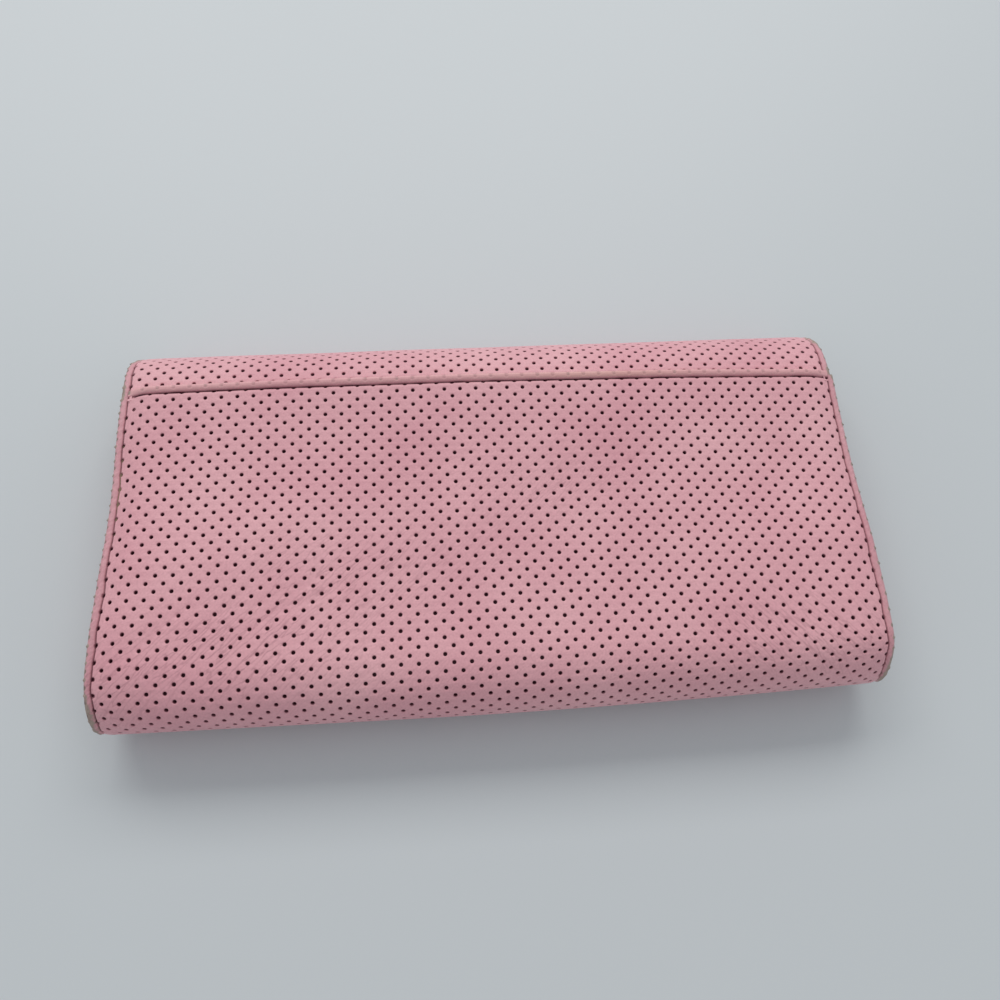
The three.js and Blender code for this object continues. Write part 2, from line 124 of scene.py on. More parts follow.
def new_material(name):
    """An empty node material with its output node, and a shader joined to it."""
    material = bpy.data.materials.new(name)
    material.use_nodes = True
    tree = material.node_tree
    tree.nodes.clear()
    shader = tree.nodes.new("ShaderNodeBsdfPrincipled")
    output = tree.nodes.new("ShaderNodeOutputMaterial")
    tree.links.new(shader.outputs["BSDF"], output.inputs["Surface"])
    return material, tree, shader


# %% Floor and light
def plain_mesh(name, points, faces):
    """A mesh object from lists of points and faces."""
    mesh = bpy.data.meshes.new(name)
    mesh.from_pydata([tuple(p) for p in points], [], [tuple(f) for f in faces])
    mesh.update()
    thing = bpy.data.objects.new(name, mesh)
    scene.collection.objects.link(thing)
    return thing


FLOOR_HALF = 1.6
floor = plain_mesh("floor", [(-FLOOR_HALF, -FLOOR_HALF, 0), (FLOOR_HALF, -FLOOR_HALF, 0),
                             (FLOOR_HALF, FLOOR_HALF, 0), (-FLOOR_HALF, FLOOR_HALF, 0)], [(0, 1, 2, 3)])
table_top, tree, shader = new_material("white_table_top")
shader.inputs["Base Color"].default_value = linear("#d4d9dc")
shader.inputs["Roughness"].default_value = 0.5
floor.data.materials.append(table_top)


def area_light(name, place, aim, size, power, colour):
    """A broad soft light, size across and up, at a place and turned to look at its aim."""
    data = bpy.data.lights.new(name, "AREA")
    data.shape = "RECTANGLE"
    data.energy, data.color = power, colour
    data.size, data.size_y = size
    light = bpy.data.objects.new(name, data)
    light.location = place
    light.rotation_euler = (Vector(aim) - Vector(place)).to_track_quat("-Z", "Y").to_euler()
    scene.collection.objects.link(light)


area_light("window", (-0.1, 1.35, 1.25), (0, 0, 0), (2.2, 0.7), 18.0, (1.0, 0.985, 0.965))
world = bpy.data.worlds.new("pale_room")
world.use_nodes = True
world.node_tree.nodes["Background"].inputs["Color"].default_value = (0.93, 0.97, 1.0, 1)
world.node_tree.nodes["Background"].inputs["Strength"].default_value = 0.49
scene.world = world

# %% [markdown]
# ## How a hide is described
#
# Every leather here is a `Track`: a line in depth (Y) and height (Z) that is measured by its own length,
# so that a point of the hide is given by where it is across (x), how far along the line (s) and how deep
# below the grain side (d). The punching machine works on flat leather, so the holes keep one pitch
# along s even where the hide is bent round the fold or the spine.


# %% Tracks
def bezier(p0, p1, p2, p3, count):
    """Points on the cubic curve that leaves p0 towards p1 and reaches p3 from p2."""
    t = np.linspace(0, 1, count)[:, None]
    return (1 - t) ** 3 * p0 + 3 * (1 - t) ** 2 * t * p1 + 3 * (1 - t) * t ** 2 * p2 + t ** 3 * p3


def smooth(t):
    """0 below 0, 1 above 1 and an S curve between: 3 t squared - 2 t cubed."""
    t = np.clip(t, 0, 1)
    return t * t * (3 - 2 * t)


# %% A line measured along itself
class Track:
    """A line in depth and height, measured along itself. Its normal points to the grain side.
    bow_share is how far the hide follows the bow of the back, edge_drop how its side edges sink."""

    def __init__(self, points, side=1, bow_share=1.0, edge_drop=None):
        points = np.asarray(points, float)
        self.bow_share, self.edge_drop = bow_share, edge_drop
        keep = np.r_[True, np.linalg.norm(np.diff(points, axis=0), axis=1) > 1e-7]
        self.points = points[keep]
        self.length_at = np.r_[0, np.cumsum(np.linalg.norm(np.diff(self.points, axis=0), axis=1))]
        self.length = self.length_at[-1]
        run = np.gradient(self.points, self.length_at, axis=0)
        run /= np.linalg.norm(run, axis=1)[:, None]
        self.side = side
        self.normals = side * np.c_[-run[:, 1], run[:, 0]]

    def at(self, s, d):
        """The point at length s, moved d into the leather: line minus d times the normal. Past either
        end the line goes straight on."""
        on_line = [np.interp(s, self.length_at, self.points[:, i]) for i in (0, 1)]
        out = [np.interp(s, self.length_at, self.normals[:, i]) for i in (0, 1)]
        size = np.hypot(*out)
        past = (s - np.clip(s, 0, self.length)) * self.side
        return (on_line[0] + (past * out[1] - d * out[0]) / size,
                on_line[1] - (past * out[0] + d * out[1]) / size)

    def s_at_depth(self, y, z_over=-1):
        """Length at which the line passes a depth y, taken where it is higher than z_over."""
        ok = self.points[:, 1] > z_over
        return float(self.length_at[ok][np.argmin(abs(self.points[ok, 0] - y))])


# %% Driving sizes, from the frame
def box_of(node):
    """The low and high corner of a CAD node, as arrays."""
    low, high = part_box(node)
    return np.array(low), np.array(high)


wall_low, wall_high = box_of("pocket_wall")

SIDE = wall_high[0] - 0.5 * MM   # the turned edges lie just inside the CAD model's sides
FOLD_Y = wall_low[1]
LIP_Y = wall_high[1]
LIP_Z = wall_high[2]
SPINE_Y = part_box("spine_leather")[1][1]
BAND_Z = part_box("back_panel")[1][2]
SPINE_LOW = 6 * MM                                            # radius of the turn into the flap
FLAP_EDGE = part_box("flap_leather")[0][1]
INNER_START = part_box("back_lining")[0][1]
THICK = 1.1 * MM

HOLE_RADIUS = 0.48 * MM
HOLE_ACROSS = 2.03 * MM         # half the pitch across: holes of one row are twice this apart
HOLE_ALONG = 1.95 * MM          # from one row to the next, which is shifted by HOLE_ACROSS
print("half length", SIDE / MM, "lip", LIP_Y / MM, LIP_Z / MM, "spine", SPINE_Y / MM)

# %% Profiles of the two outer hides
MIDDLE_Z = LIP_Z - 2.5 * MM     # the pocket's wall sags between its lip and its fold
FRONT_Z = wall_low[2]
FOLD_RUN = 14 * MM
FOLD_MID = 11.5 * MM


def pocket_profile():
    """From the front, round the bottom fold, over the back to the lip: two curves, a flat, and a rise
    that grows with the 1.5th power of the depth."""
    centre = FOLD_Y + FOLD_RUN
    low = bezier(np.array([centre - 5.8 * MM, FRONT_Z]), np.array([FOLD_Y + 3 * MM, FRONT_Z]),
                 np.array([FOLD_Y, FRONT_Z + 2.5 * MM]), np.array([FOLD_Y, FOLD_MID]), 40)
    high = bezier(np.array([FOLD_Y, FOLD_MID]), np.array([FOLD_Y, (FOLD_MID + MIDDLE_Z) / 2 + 1.2 * MM]),
                  np.array([FOLD_Y + FOLD_RUN * 0.42, MIDDLE_Z + 0.15 * MM]),
                  np.array([centre, MIDDLE_Z + 0.15 * MM]), 60)
    y = np.linspace(centre, LIP_Y, 240)
    dish = 0.15 * MM * (1 - smooth((y - centre) / (0.5 * (LIP_Y - centre))))
    rise = 2.25 * MM * (np.clip(y, 0, None) / LIP_Y) ** 1.5
    return np.vstack([low, high[1:], np.c_[y, MIDDLE_Z + dish + rise][1:]])


def hide_profile():
    """The long hide in one line: back panel, bend, band, spine, turn under and flap."""
    start = np.array([INNER_START, BAND_Z])
    bend = np.array([SPINE_Y - 26 * MM, BAND_Z])
    shoulder = np.array([SPINE_Y - 9 * MM, BAND_Z - 2.33 * MM])
    run = np.array([3.0, -1.35]) * MM
    over = bezier(bend, bend + [9 * MM, 0], shoulder - run, shoulder, 60)
    down = bezier(shoulder, shoulder + 2 * run, np.array([SPINE_Y, SPINE_LOW * 1.7]),
                  np.array([SPINE_Y, SPINE_LOW]), 60)
    angle = np.linspace(0, -math.pi / 2, 50)
    under = np.c_[SPINE_Y - SPINE_LOW + SPINE_LOW * np.cos(angle), SPINE_LOW + SPINE_LOW * np.sin(angle)]
    return np.vstack([start, over, down[1:], under[1:], np.array([[FLAP_EDGE, 0.0]])])


def pocket_edge_drop(x, y):
    """How much lower the pocket's turned edges lie: most on the left side, half way up and at the lip."""
    left = 1.0 + 1.0 * np.exp(-((y / MM + 4) / 22) ** 2) + 1.3 * np.exp(-((y / MM - 34) / 8) ** 2)
    return np.where(x < 0, left, 1.2) * MM


pocket_track = Track(pocket_profile(), edge_drop=pocket_edge_drop)
hide_track = Track(hide_profile(), bow_share=0.12, edge_drop=lambda x, y: 0.25 * MM)
print("hides, mm:", round(pocket_track.length / MM, 1), round(hide_track.length / MM, 1))

# %% [markdown]
# ## Bending, sagging and wrinkling
#
# A used wallet is never straight. Its ends droop at the lip and lift a little over the fold, it has
# shallow dents, and fine slanting wrinkles in the lower corners. `bow` moves every layer of the back,
# so that they keep their order. `back_relief` is the height that the outer hides add to it.


# %% Relief
def bow(x, y):
    """Broad bend of the back: the square of the distance from the middle, times an amount that
    depends on the depth: down at the lip, up over the fold."""
    amount = np.interp(y / MM, [-52, -45, -38, -30, -15, -4, 8, 23, 34, 42, 52],
                       [0, 0.1, 0.6, 1.2, 1.1, 0.1, -0.9, -1.9, -2.4, -1.6, -0.8])
    return amount * MM * (x / SIDE) ** 2


def waves(x, y, seed, count, shortest, longest):
    """A sum of sine waves in seeded directions and lengths, between about -1 and 1."""
    rng = np.random.default_rng(seed)
    total = np.zeros(np.shape(x))
    for _ in range(count):
        angle, phase = rng.uniform(0, math.pi), rng.uniform(0, 2 * math.pi)
        length = shortest * (longest / shortest) ** rng.uniform()
        total = total + np.sin(2 * math.pi * (x * math.cos(angle) + y * math.sin(angle)) / length + phase)
    return total / math.sqrt(count)


# %% Wrinkles and soft edges
def creases(x, y):
    """Fine slanting wrinkles: narrow valleys, each along its own short line, deepest at its middle.
    A group is its centre, its two spreads, its reach, its slant and how many wrinkles it has."""
    rng = np.random.default_rng(11)
    total = np.zeros(np.shape(x))
    groups = [(-62, -30, 20, 8, 26, 0.62, 14), (-38, -22, 16, 6, 24, 0.55, 8), (82, -34, 8, 5, 12, -0.9, 7),
              (-10, 8, 22, 12, 18, 0.4, 5), (30, 2, 20, 14, 16, 0.5, 5)]
    for cx, cy, spread_x, spread_y, reach, slant, count in groups:
        for _ in range(count):
            px, py = cx + rng.normal() * spread_x * 0.5, cy + rng.normal() * spread_y * 0.5
            angle = slant + rng.normal() * 0.16
            half = reach * rng.uniform(0.25, 0.6)
            deep, wide = rng.uniform(0.05, 0.13), rng.uniform(0.45, 0.8)
            curve = rng.normal() * 0.012
            along = (x / MM - px) * math.cos(angle) + (y / MM - py) * math.sin(angle)
            across = -(x / MM - px) * math.sin(angle) + (y / MM - py) * math.cos(angle) - curve * along ** 2
            total -= deep * np.exp(-(across / wide) ** 2) * np.exp(-(along / half) ** 4)
    return total * MM


def back_relief(x, y, edge_drop):
    """What stands up or lies down on the grain side of the back: dents, wrinkles and soft edges.
    edge_drop(x, y) is how deep the side edge has sunk."""
    dents = 0.16 * MM * waves(x / MM, y / MM, 3, 7, 26, 70) * smooth((SIDE - abs(x)) / (20 * MM))
    edge = -edge_drop(x, y) * (1 - smooth((SIDE - 1.4 * MM - abs(x)) / (9 * MM))) ** 2
    return dents + edge + creases(x, y)


# %% [markdown]
# ## A sheet full of holes
#
# The holes stand in staggered rows. The sheet is laid like bricks: each brick carries one hole in its
# middle and neighbouring rows are shifted by half a brick, so all the corners meet. A brick is a ring
# from its twelve boundary points to the rim of the hole, a rounded rim, and the wall of the hole. A
# boolean cut could do the same but gives long thin faces; this way the mesh stays even and light.


# %% Perforated sheets
def brick_template():
    """Boundary points of a brick in half pitches, and the same directions round the hole."""
    xs = np.array([1, 1, 0.5, 0, -0.5, -1, -1, -1, -0.5, 0, 0.5, 1])
    ys = np.array([0, 0.5, 0.5, 0.5, 0.5, 0.5, 0, -0.5, -0.5, -0.5, -0.5, -0.5])
    angle = np.arange(12) * 2 * math.pi / 12
    return xs, ys, np.cos(angle), np.sin(angle)


def grid_faces(rows, columns, closed=False):
    """Quads between neighbouring rows and columns of a grid of points."""
    r, c = np.meshgrid(np.arange(rows - 1), np.arange(columns if closed else columns - 1), indexing="ij")
    n = (c + 1) % columns
    return np.stack([r * columns + c, r * columns + n, (r + 1) * columns + n, (r + 1) * columns + c],
                    axis=-1).reshape(-1, 4)


def perforated(x_low, x_high, s_low, rows, first_row, columns, thickness=THICK):
    """Flat layout of a perforated sheet: rows of bricks from s_low, hole columns at (k + 0.5) times
    the half pitch for the k in columns whose parity fits the row. Returns x, s, depth, hole share
    (0 on the surface, 1 in the hole) and faces. Bricks are clipped at x_low and x_high."""
    bx, by, cx, cy = brick_template()
    k, n = np.meshgrid(columns, np.arange(rows), indexing="ij")
    fits = (k + n + first_row) % 2 == 0
    x0, s0 = (k[fits] + 0.5) * HOLE_ACROSS, s_low + (n[fits] + 0.5) * HOLE_ALONG
    rings = [(bx * HOLE_ACROSS, by * HOLE_ALONG, 0.0, 0.0)]
    # Painted shade: the hole value grows down the wall of each hole, so the walls darken with depth; at the
    # bottom it is the dark backing.
    for wider, depth, hole in ((0.20, 0.0, 0.0), (0.05, 0.07 * MM, 0.12), (-0.03, 0.26 * MM, 0.8),
                               (-0.06, thickness, 1.0)):
        radius = HOLE_RADIUS + wider * MM
        rings.append((cx * radius, cy * radius, depth, hole))
    x = np.stack([x0[:, None] + r[0] for r in rings], axis=1)
    s = np.stack([s0[:, None] + r[1] for r in rings], axis=1)
    d = np.broadcast_to(np.array([r[2] for r in rings])[None, :, None], x.shape)
    hole = np.broadcast_to(np.array([r[3] for r in rings])[None, :, None], x.shape)
    x = np.clip(x, x_low, x_high)
    one = grid_faces(len(rings), 12, closed=True)
    faces = (one[None] + (np.arange(len(x0)) * len(rings) * 12)[:, None, None]).reshape(-1, 4)
    parts = [x.ravel(), s.ravel(), d.ravel(), hole.ravel()]
    blank_x, blank_s, blank_faces = side_blanks(x_low, x_high, s_low, rows, first_row, columns)
    faces = np.vstack([faces, blank_faces + len(parts[0])])
    zeros = np.zeros(len(blank_x))
    parts = [np.r_[p, b] for p, b in zip(parts, (blank_x, blank_s, zeros, zeros))]
    return (*parts, faces)


# %% Blank ends and meshes
def side_blanks(x_low, x_high, s_low, rows, first_row, columns):
    """The narrow pieces without a hole that finish every second row at the two sides."""
    xs, ss, faces = [], [], []
    for edge, limit in ((columns[-1], x_high), (columns[0], x_low)):
        for n in range(rows):
            if (edge + n + first_row) % 2 == 0:
                continue
            near = (edge + 0.5) * HOLE_ACROSS
            for x in (near, limit):
                xs += [x] * 3
                ss += [s_low + n * HOLE_ALONG, s_low + (n + 0.5) * HOLE_ALONG, s_low + (n + 1) * HOLE_ALONG]
            b = len(xs) - 6
            quads = [(b, b + 3, b + 4, b + 1), (b + 1, b + 4, b + 5, b + 2)]
            faces += quads if limit > near else [q[::-1] for q in quads]
    return np.array(xs), np.array(ss), np.array(faces).reshape(-1, 4)


def joined_mesh(name, points, faces, marks):
    """Makes a mesh: points that fall together are merged, faces that shrink are dropped or become
    triangles, and each mark becomes a named value at the points for the materials to read."""
    keys = np.round(points / 2e-7).astype(np.int64)
    _, first, back = np.unique(keys, axis=0, return_index=True, return_inverse=True)
    back = back.ravel()
    faces = back[faces]
    made = []
    for face in faces.tolist():
        corners = [p for i, p in enumerate(face) if p != face[i - 1]]
        if len(set(corners)) == len(corners) and len(corners) >= 3:
            made.append(corners)
    mesh = bpy.data.meshes.new(name)
    mesh.from_pydata(points[first].tolist(), [], made)
    for key, values in marks.items():
        layer = mesh.attributes.new(key, "FLOAT", "POINT")
        layer.data.foreach_set("value", np.asarray(values, np.float32)[first])
    mesh.polygons.foreach_set("use_smooth", np.ones(len(mesh.polygons), bool))
    mesh.update()
    thing = bpy.data.objects.new(name, mesh)
    scene.collection.objects.link(thing)
    print(f"{name}: {len(mesh.vertices)} points, {len(mesh.polygons)} faces")
    return thing

# %% [markdown]
# ## Leather finishes
#
# The hide is calf leather, dyed through and given a light pigment coat: semi-matt, with a fine pebble
# grain of less than a millimetre. Values at the points steer the colour: `hole` mixes in a dark maroon, the
# backing at the bottom of the holes and painted shade on their walls and in the sunk seams, `wear` brings
# out grey-beige fibres where corners and edges have rubbed, `fade` is the warm tint of places that hands
# touch, and `crumple` calls up fine slanting wrinkles where the hide is bent often, as bumps and as painted
# shade along their lines. The grain is drawn a little coarser than real, so that it shows.


# %% Node shorthands
def object_place(tree):
    """Where a point is on its object: every pattern is laid out in these metres."""
    return add_node(tree, "ShaderNodeTexCoord").outputs["Object"]


def mapped(tree, place, degrees=0.0, scale=(1, 1, 1), kind="POINT"):
    """The place scaled and then turned about Z. With the kind TEXTURE it is turned first and divided."""
    return add_node(tree, "ShaderNodeMapping", {"vector_type": kind}, Vector=place,
                    Rotation=(0, 0, math.radians(degrees)), Scale=scale).outputs["Vector"]


def noise(tree, place, size_mm, detail, rough=0.5):
    """Clouds about size_mm wide."""
    return add_node(tree, "ShaderNodeTexNoise", Vector=place, Scale=1 / (size_mm * MM), Detail=detail,
                    Roughness=rough).outputs["Fac"]


def bands(tree, place, size_mm, **more):
    """Soft light and dark bands across X, one every size_mm."""
    scale = 0.31 / (size_mm * MM)
    return add_node(tree, "ShaderNodeTexWave", Vector=place, Scale=scale, **more).outputs["Fac"]


def maths(tree, operation, *values, clamp=False):
    """One operation on values or sockets, such as a sum or a product."""
    inputs = {f"i{index}": value for index, value in enumerate(values)}
    settings = {"operation": operation, "use_clamp": clamp}
    return add_node(tree, "ShaderNodeMath", settings, **inputs).outputs[0]


def ranged(tree, value, low, high, to_low=0.0, to_high=1.0, curve="LINEAR"):
    """Carries a value from the range low to high over to another range, and stops at its ends."""
    return add_node(tree, "ShaderNodeMapRange", {"interpolation_type": curve}, i0=value, i1=low, i2=high,
                    i3=to_low, i4=to_high).outputs["Result"]


def mixed(tree, share, first, second):
    """A colour that goes from the first to the second as the share goes from 0 to 1."""
    return add_node(tree, "ShaderNodeMix", {"data_type": "RGBA"}, i0=share, i6=first, i7=second).outputs[2]


def joined(tree, shader, **sockets):
    """Links sockets to the shader's inputs of those names."""
    for key, socket in sockets.items():
        tree.links.new(socket, shader.inputs[key.replace("_", " ")])


def bumped(tree, height, strength, depth_mm):
    """The normal of a surface whose small relief is the height times depth_mm."""
    return add_node(tree, "ShaderNodeBump", Strength=strength, Distance=depth_mm * MM,
                    Height=height).outputs["Normal"]


# %% Leather material
def leather(name, light, dark, roughness, grain_mm):
    """Finished leather: two shades in soft clouds and fine specks, then fade, wear, wrinkles with painted
    shade and hole (dark backing and painted shade) on top, and a bump made of grain cells, fibre noise and
    the same wrinkles."""
    material, tree, shader = new_material(name)
    place = object_place(tree)

    def value(key):
        """A value that the mesh stores at its points."""
        return add_node(tree, "ShaderNodeAttribute", {"attribute_name": key}).outputs["Fac"]

    def wrinkles(key, degrees):
        """Hairlines where a noise stretched along one direction crosses its middle value."""
        stretched = mapped(tree, place, degrees, (7.0, 1.0, 3.0), "TEXTURE")
        level = maths(tree, "SUBTRACT", noise(tree, stretched, 1.5, 2.0), 0.5)
        line = ranged(tree, maths(tree, "ABSOLUTE", level), 0.0, 0.035, 1.0, 0.0, "SMOOTHSTEP")
        return maths(tree, "MULTIPLY", value(key), line)

    clouds = ranged(tree, noise(tree, place, 26, 3.0, 0.55), 0.3, 0.7)
    speck = ranged(tree, noise(tree, place, 0.45, 2.0), 0.3, 0.7, 0.92, 1.06)
    dyed = add_node(tree, "ShaderNodeVectorMath", {"operation": "SCALE"}, Scale=speck,
                    i0=mixed(tree, clouds, linear(dark), linear(light))).outputs["Vector"]
    touched = mixed(tree, value("fade"), dyed, linear("#dfae9b"))
    fibres = noise(tree, place, 0.9, 4.0, 0.7)
    bare = ranged(tree, maths(tree, "ADD", value("wear"), fibres), 0.92, 1.18, curve="SMOOTHSTEP")
    worn = mixed(tree, bare, touched, mixed(tree, fibres, linear("#7d7165"), linear("#d8c4b7")))
    folds = maths(tree, "ADD", wrinkles("crumple", 42), wrinkles("crumple_right", -48), clamp=True)
    # Painted shade: the wrinkle hairlines are darkened in the colour, besides being bumped below.
    crease_painted_shade = mixed(tree, maths(tree, "MULTIPLY", folds, 0.35), worn, linear("#9a5f6c"))
    cells = add_node(tree, "ShaderNodeTexVoronoi", {"feature": "SMOOTH_F1"}, Vector=place,
                     Scale=1 / (grain_mm * MM)).outputs["Distance"]
    height = maths(tree, "MULTIPLY_ADD", folds, -2.2, maths(tree, "MULTIPLY_ADD", fibres, 0.6, cells))
    # The hole value mixes in dark maroon: the backing in the holes, and painted shade on hole walls and in
    # seam grooves.
    joined(tree, shader, Base_Color=mixed(tree, value("hole"), crease_painted_shade, linear("#5c2032")),
           Roughness=ranged(tree, bare, 0.0, 1.0, roughness, 0.9), Normal=bumped(tree, height, 0.6, 0.045))
    shader.inputs["IOR"].default_value = 1.48
    shader.inputs["Sheen Weight"].default_value = 0.06
    return material


calf = leather("pigmented_calf_perforated", "#efb4bb", "#e5a4ae", 0.5, 0.75)
lining_calf = leather("smooth_lining_calf", "#e3b2b6", "#d8a4aa", 0.55, 0.5)


# %% Cloth, board, thread and metal
def twill(name, light, dark, thread_mm):
    """Woven twill: two sets of waves at 45 degrees for the ribs and the threads. The threads are drawn
    twice as coarse as real ones, so that they show."""
    material, tree, shader = new_material(name)
    place = object_place(tree)
    rib = bands(tree, mapped(tree, place, 45), thread_mm, Distortion=0.6, Detail=1.0)
    weave = maths(tree, "MULTIPLY_ADD", bands(tree, place, 0.7 * thread_mm), 0.35, rib)
    shade = ranged(tree, weave, 0.0, 1.35)
    joined(tree, shader, Base_Color=mixed(tree, shade, linear(dark), linear(light)),
           Normal=bumped(tree, weave, 0.7, 0.08))
    shader.inputs["Roughness"].default_value = 0.9
    shader.inputs["Sheen Weight"].default_value = 0.3
    return material


def fibre_board(name):
    """Bonded leather board: pressed grey-brown fibres, matt, with flecks a millimetre long."""
    material, tree, shader = new_material(name)
    flecks = noise(tree, object_place(tree), 1.0, 5.0, 0.75)
    joined(tree, shader, Base_Color=mixed(tree, flecks, linear("#6d5a4a"), linear("#ab947c")),
           Normal=bumped(tree, flecks, 0.5, 0.06))
    shader.inputs["Roughness"].default_value = 0.92
    return material


def plated_metal(name, colour, dull, roughness):
    """Zinc casting, polished and plated pale gold: fine scratches and slightly dull patches."""
    material, tree, shader = new_material(name)
    place = object_place(tree)
    patches = noise(tree, place, 1.6, 4.0)
    scratches = noise(tree, mapped(tree, place, scale=(0.1, 1.0, 1.0)), 0.12, 2.0)
    joined(tree, shader, Base_Color=mixed(tree, patches, linear(dull), linear(colour)),
           Roughness=ranged(tree, patches, 0.0, 1.0, roughness + 0.16, roughness - 0.04),
           Normal=bumped(tree, scratches, 0.12, 0.02))
    shader.inputs["Metallic"].default_value = 1.0
    return material


def spun_thread(name, colour, dark):
    """Polyester sewing thread: three plies twisted together, seen as slanting light and dark bands."""
    material, tree, shader = new_material(name)
    plies = bands(tree, mapped(tree, object_place(tree), 35), 0.35)
    joined(tree, shader, Base_Color=mixed(tree, plies, linear(dark), linear(colour)),
           Normal=bumped(tree, plies, 0.6, 0.05))
    shader.inputs["Roughness"].default_value = 0.6
    shader.inputs["Sheen Weight"].default_value = 0.2
    return material


pocket_twill = twill("cotton_twill_lining", "#d9a6ad", "#a97580", 0.8)
tape_twill = twill("polyester_herringbone_tape", "#cf98a2", "#9c6873", 0.7)
board = fibre_board("bonded_leather_board")
gold = plated_metal("pale_gold_plated_zinc", "#e3cf9f", "#cdb684", 0.24)
steel = plated_metal("nickel_plated_steel", "#cfcac2", "#aaa59d", 0.32)
thread = spun_thread("pink_polyester_thread", "#e7bcc2", "#b98089")
print("materials:", [m.name for m in bpy.data.materials])

# %% [markdown]
# ## Sides and edges
#
# The leather is turned round its edge and sewn down a little way in. The seam is sunk: it pulls a groove,
# the field beside it rolls down into it, and the strip outside lies a little lower. Where the groove or
# the strip cross a hole there is only a dent: dark in the groove, frayed on the strip. So the margins are
# fine grids of their own, with the dents at the same lattice places as the holes of the field. The groove
# also gets painted shade, and the strip is drawn a little darker.

# %% Margins
EDGE_ROUND = 0.8 * MM           # radius of the turned edge
SEAM_IN = 1.9 * MM              # seam to the edge
COLUMNS = 45                    # columns of holes on each side of the middle
FIELD_SIDE = COLUMNS * HOLE_ACROSS      # the field of real holes ends here, between two columns
EDGE_START = SIDE - EDGE_ROUND
HEM = 5 * MM                    # width of the turned-in hem
SPINE_CORNER = 4.0 * MM         # plan radius of the two corners at the spine
FLAP_CORNER = 12 * MM           # plan radius of the flap's two free corners


def rounded_off(over, radius):
    """How far a round corner has come in after going `over` past the start of its arc."""
    t = np.clip(over / radius, 0, 0.97)
    return radius * (1 - np.sqrt(1 - t * t))


def hide_outline(y, z):
    """Share of the full width that is left where the long hide's corners are rounded off."""
    spine = rounded_off(y - (SPINE_Y - SPINE_CORNER), SPINE_CORNER)
    flap = rounded_off(FLAP_EDGE + FLAP_CORNER - y, FLAP_CORNER) * (z < 4 * MM)
    return 1 - (spine + flap) / SIDE


def turned_edge(x):
    """Where a point of the flat hide comes to lie: past the edge's start it goes round a half circle
    and then back inwards. Returns the distance from the middle plane and the added depth."""
    over = np.clip(np.abs(x) - EDGE_START, 0, None)
    angle = np.minimum(over / EDGE_ROUND, math.pi)
    back = np.clip(over - math.pi * EDGE_ROUND, 0, None)
    reach = np.minimum(np.abs(x), EDGE_START) + EDGE_ROUND * np.sin(angle) - back
    return np.sign(x) * reach, EDGE_ROUND * (1 - np.cos(angle))


def lattice_distance(x, s, s_hole, first_row):
    """Distance to the nearest hole of the lattice; s_hole is the length at row 0's centres."""
    best = np.full(np.shape(x), 1.0)
    k, n = np.round(x / HOLE_ACROSS - 0.5), np.round((s - s_hole) / HOLE_ALONG)
    for i in (-1, 0, 1):
        for j in (-1, 0, 1):
            fits = np.mod(k + i + n + j + first_row, 2) == 0
            gap = np.hypot(x - (k + i + 0.5) * HOLE_ACROSS, s - s_hole - (n + j) * HOLE_ALONG)
            best = np.where(fits, np.minimum(best, gap), best)
    return best


def seam_shape(inward):
    """Height of the grain side at a distance inward from the edge: the strip a step lower, a narrow
    groove, and the roll of the field beside it."""
    t = inward / MM
    seam = SEAM_IN / MM
    step = -0.28 * (1 - smooth((t - seam + 0.1) / 0.5))
    groove = -0.45 * np.exp(-((t - seam) / 0.22) ** 2)
    roll = -0.14 * np.exp(-((t - seam) / 1.2) ** 2)
    bead = 0.2 * np.exp(-((t - 0.95) / 0.5) ** 2)
    return (step + groove + roll + bead) * MM


def wandering(s):
    """How far the seam strays from its line: six sine waves, 3 to 30 mm long, as sewn by hand."""
    return 0.15 * MM * waves(s / MM, 0 * s, 31, 6, 3.2, 30)


# %% Placing a hide
def corner_wear(x, y):
    """Rubbing near the corners and, weaker, along the side edges, most near the fold: it falls with
    the distance."""
    side = SIDE - abs(x)
    total = np.zeros(np.shape(x))
    for corner_y, size, amount in ((FOLD_Y + 3 * MM, 5.5, 0.6), (SPINE_Y - 5 * MM, 5.5, 0.6),
                                   (LIP_Y + 0.5 * MM, 3.0, 0.62)):
        away = np.hypot(side * 1.4, y - corner_y)
        total = np.maximum(total, amount * np.exp(-(away / (size * MM)) ** 2))
    lower = 0.36 + 0.14 * smooth((-18 * MM - y) / (20 * MM))
    return total + lower * np.exp(-(side / (0.9 * MM)) ** 2)


def crumple_map(x, y):
    """Where the hide is wrinkled: near the bottom fold, most towards its two ends, and in two
    slanting patches on the back. The wrinkles near the right end lean the other way, so that patch is
    a value of its own."""
    patches = ((-62, -36, 26, 9, 1.0), (0, -44, 90, 5, 0.3),
               (12, 2, 26, 12, 0.5), (-34, -18, 30, 12, 0.8), (-88, -44, 9, 9, 0.6))
    total = np.zeros(np.shape(x))
    for px, py, wide, tall, amount in patches:
        total += amount * np.exp(-((x / MM - px) / wide) ** 2 - ((y / MM - py) / tall) ** 2)
    right = np.exp(-((x / MM - 72) / 24) ** 2 - ((y / MM + 38) / 10) ** 2)
    return np.clip(total, 0, 1), right


def drawn_in(x, y):
    """How a used wallet has slumped out of square: the spine has moved in towards the left end, and the
    bottom fold towards the right end. Returns what to add to the depth."""
    spine = -(0.5 + 1.1 * (1 - x / SIDE)) * MM * smooth((y - 38 * MM) / (13 * MM))
    fold = 2.9 * MM * np.clip((x / SIDE + 0.2) / 1.2, 0, 1) ** 1.7 * smooth((-36 * MM - y) / (15 * MM))
    return spine + fold


def slumped(x, y):
    """The left side of the back has sunk in a little, most half way up: what to add across."""
    return 0.6 * MM * np.exp(-((y / MM + 8) / 26) ** 2) * smooth((-x / MM - 78) / 16)


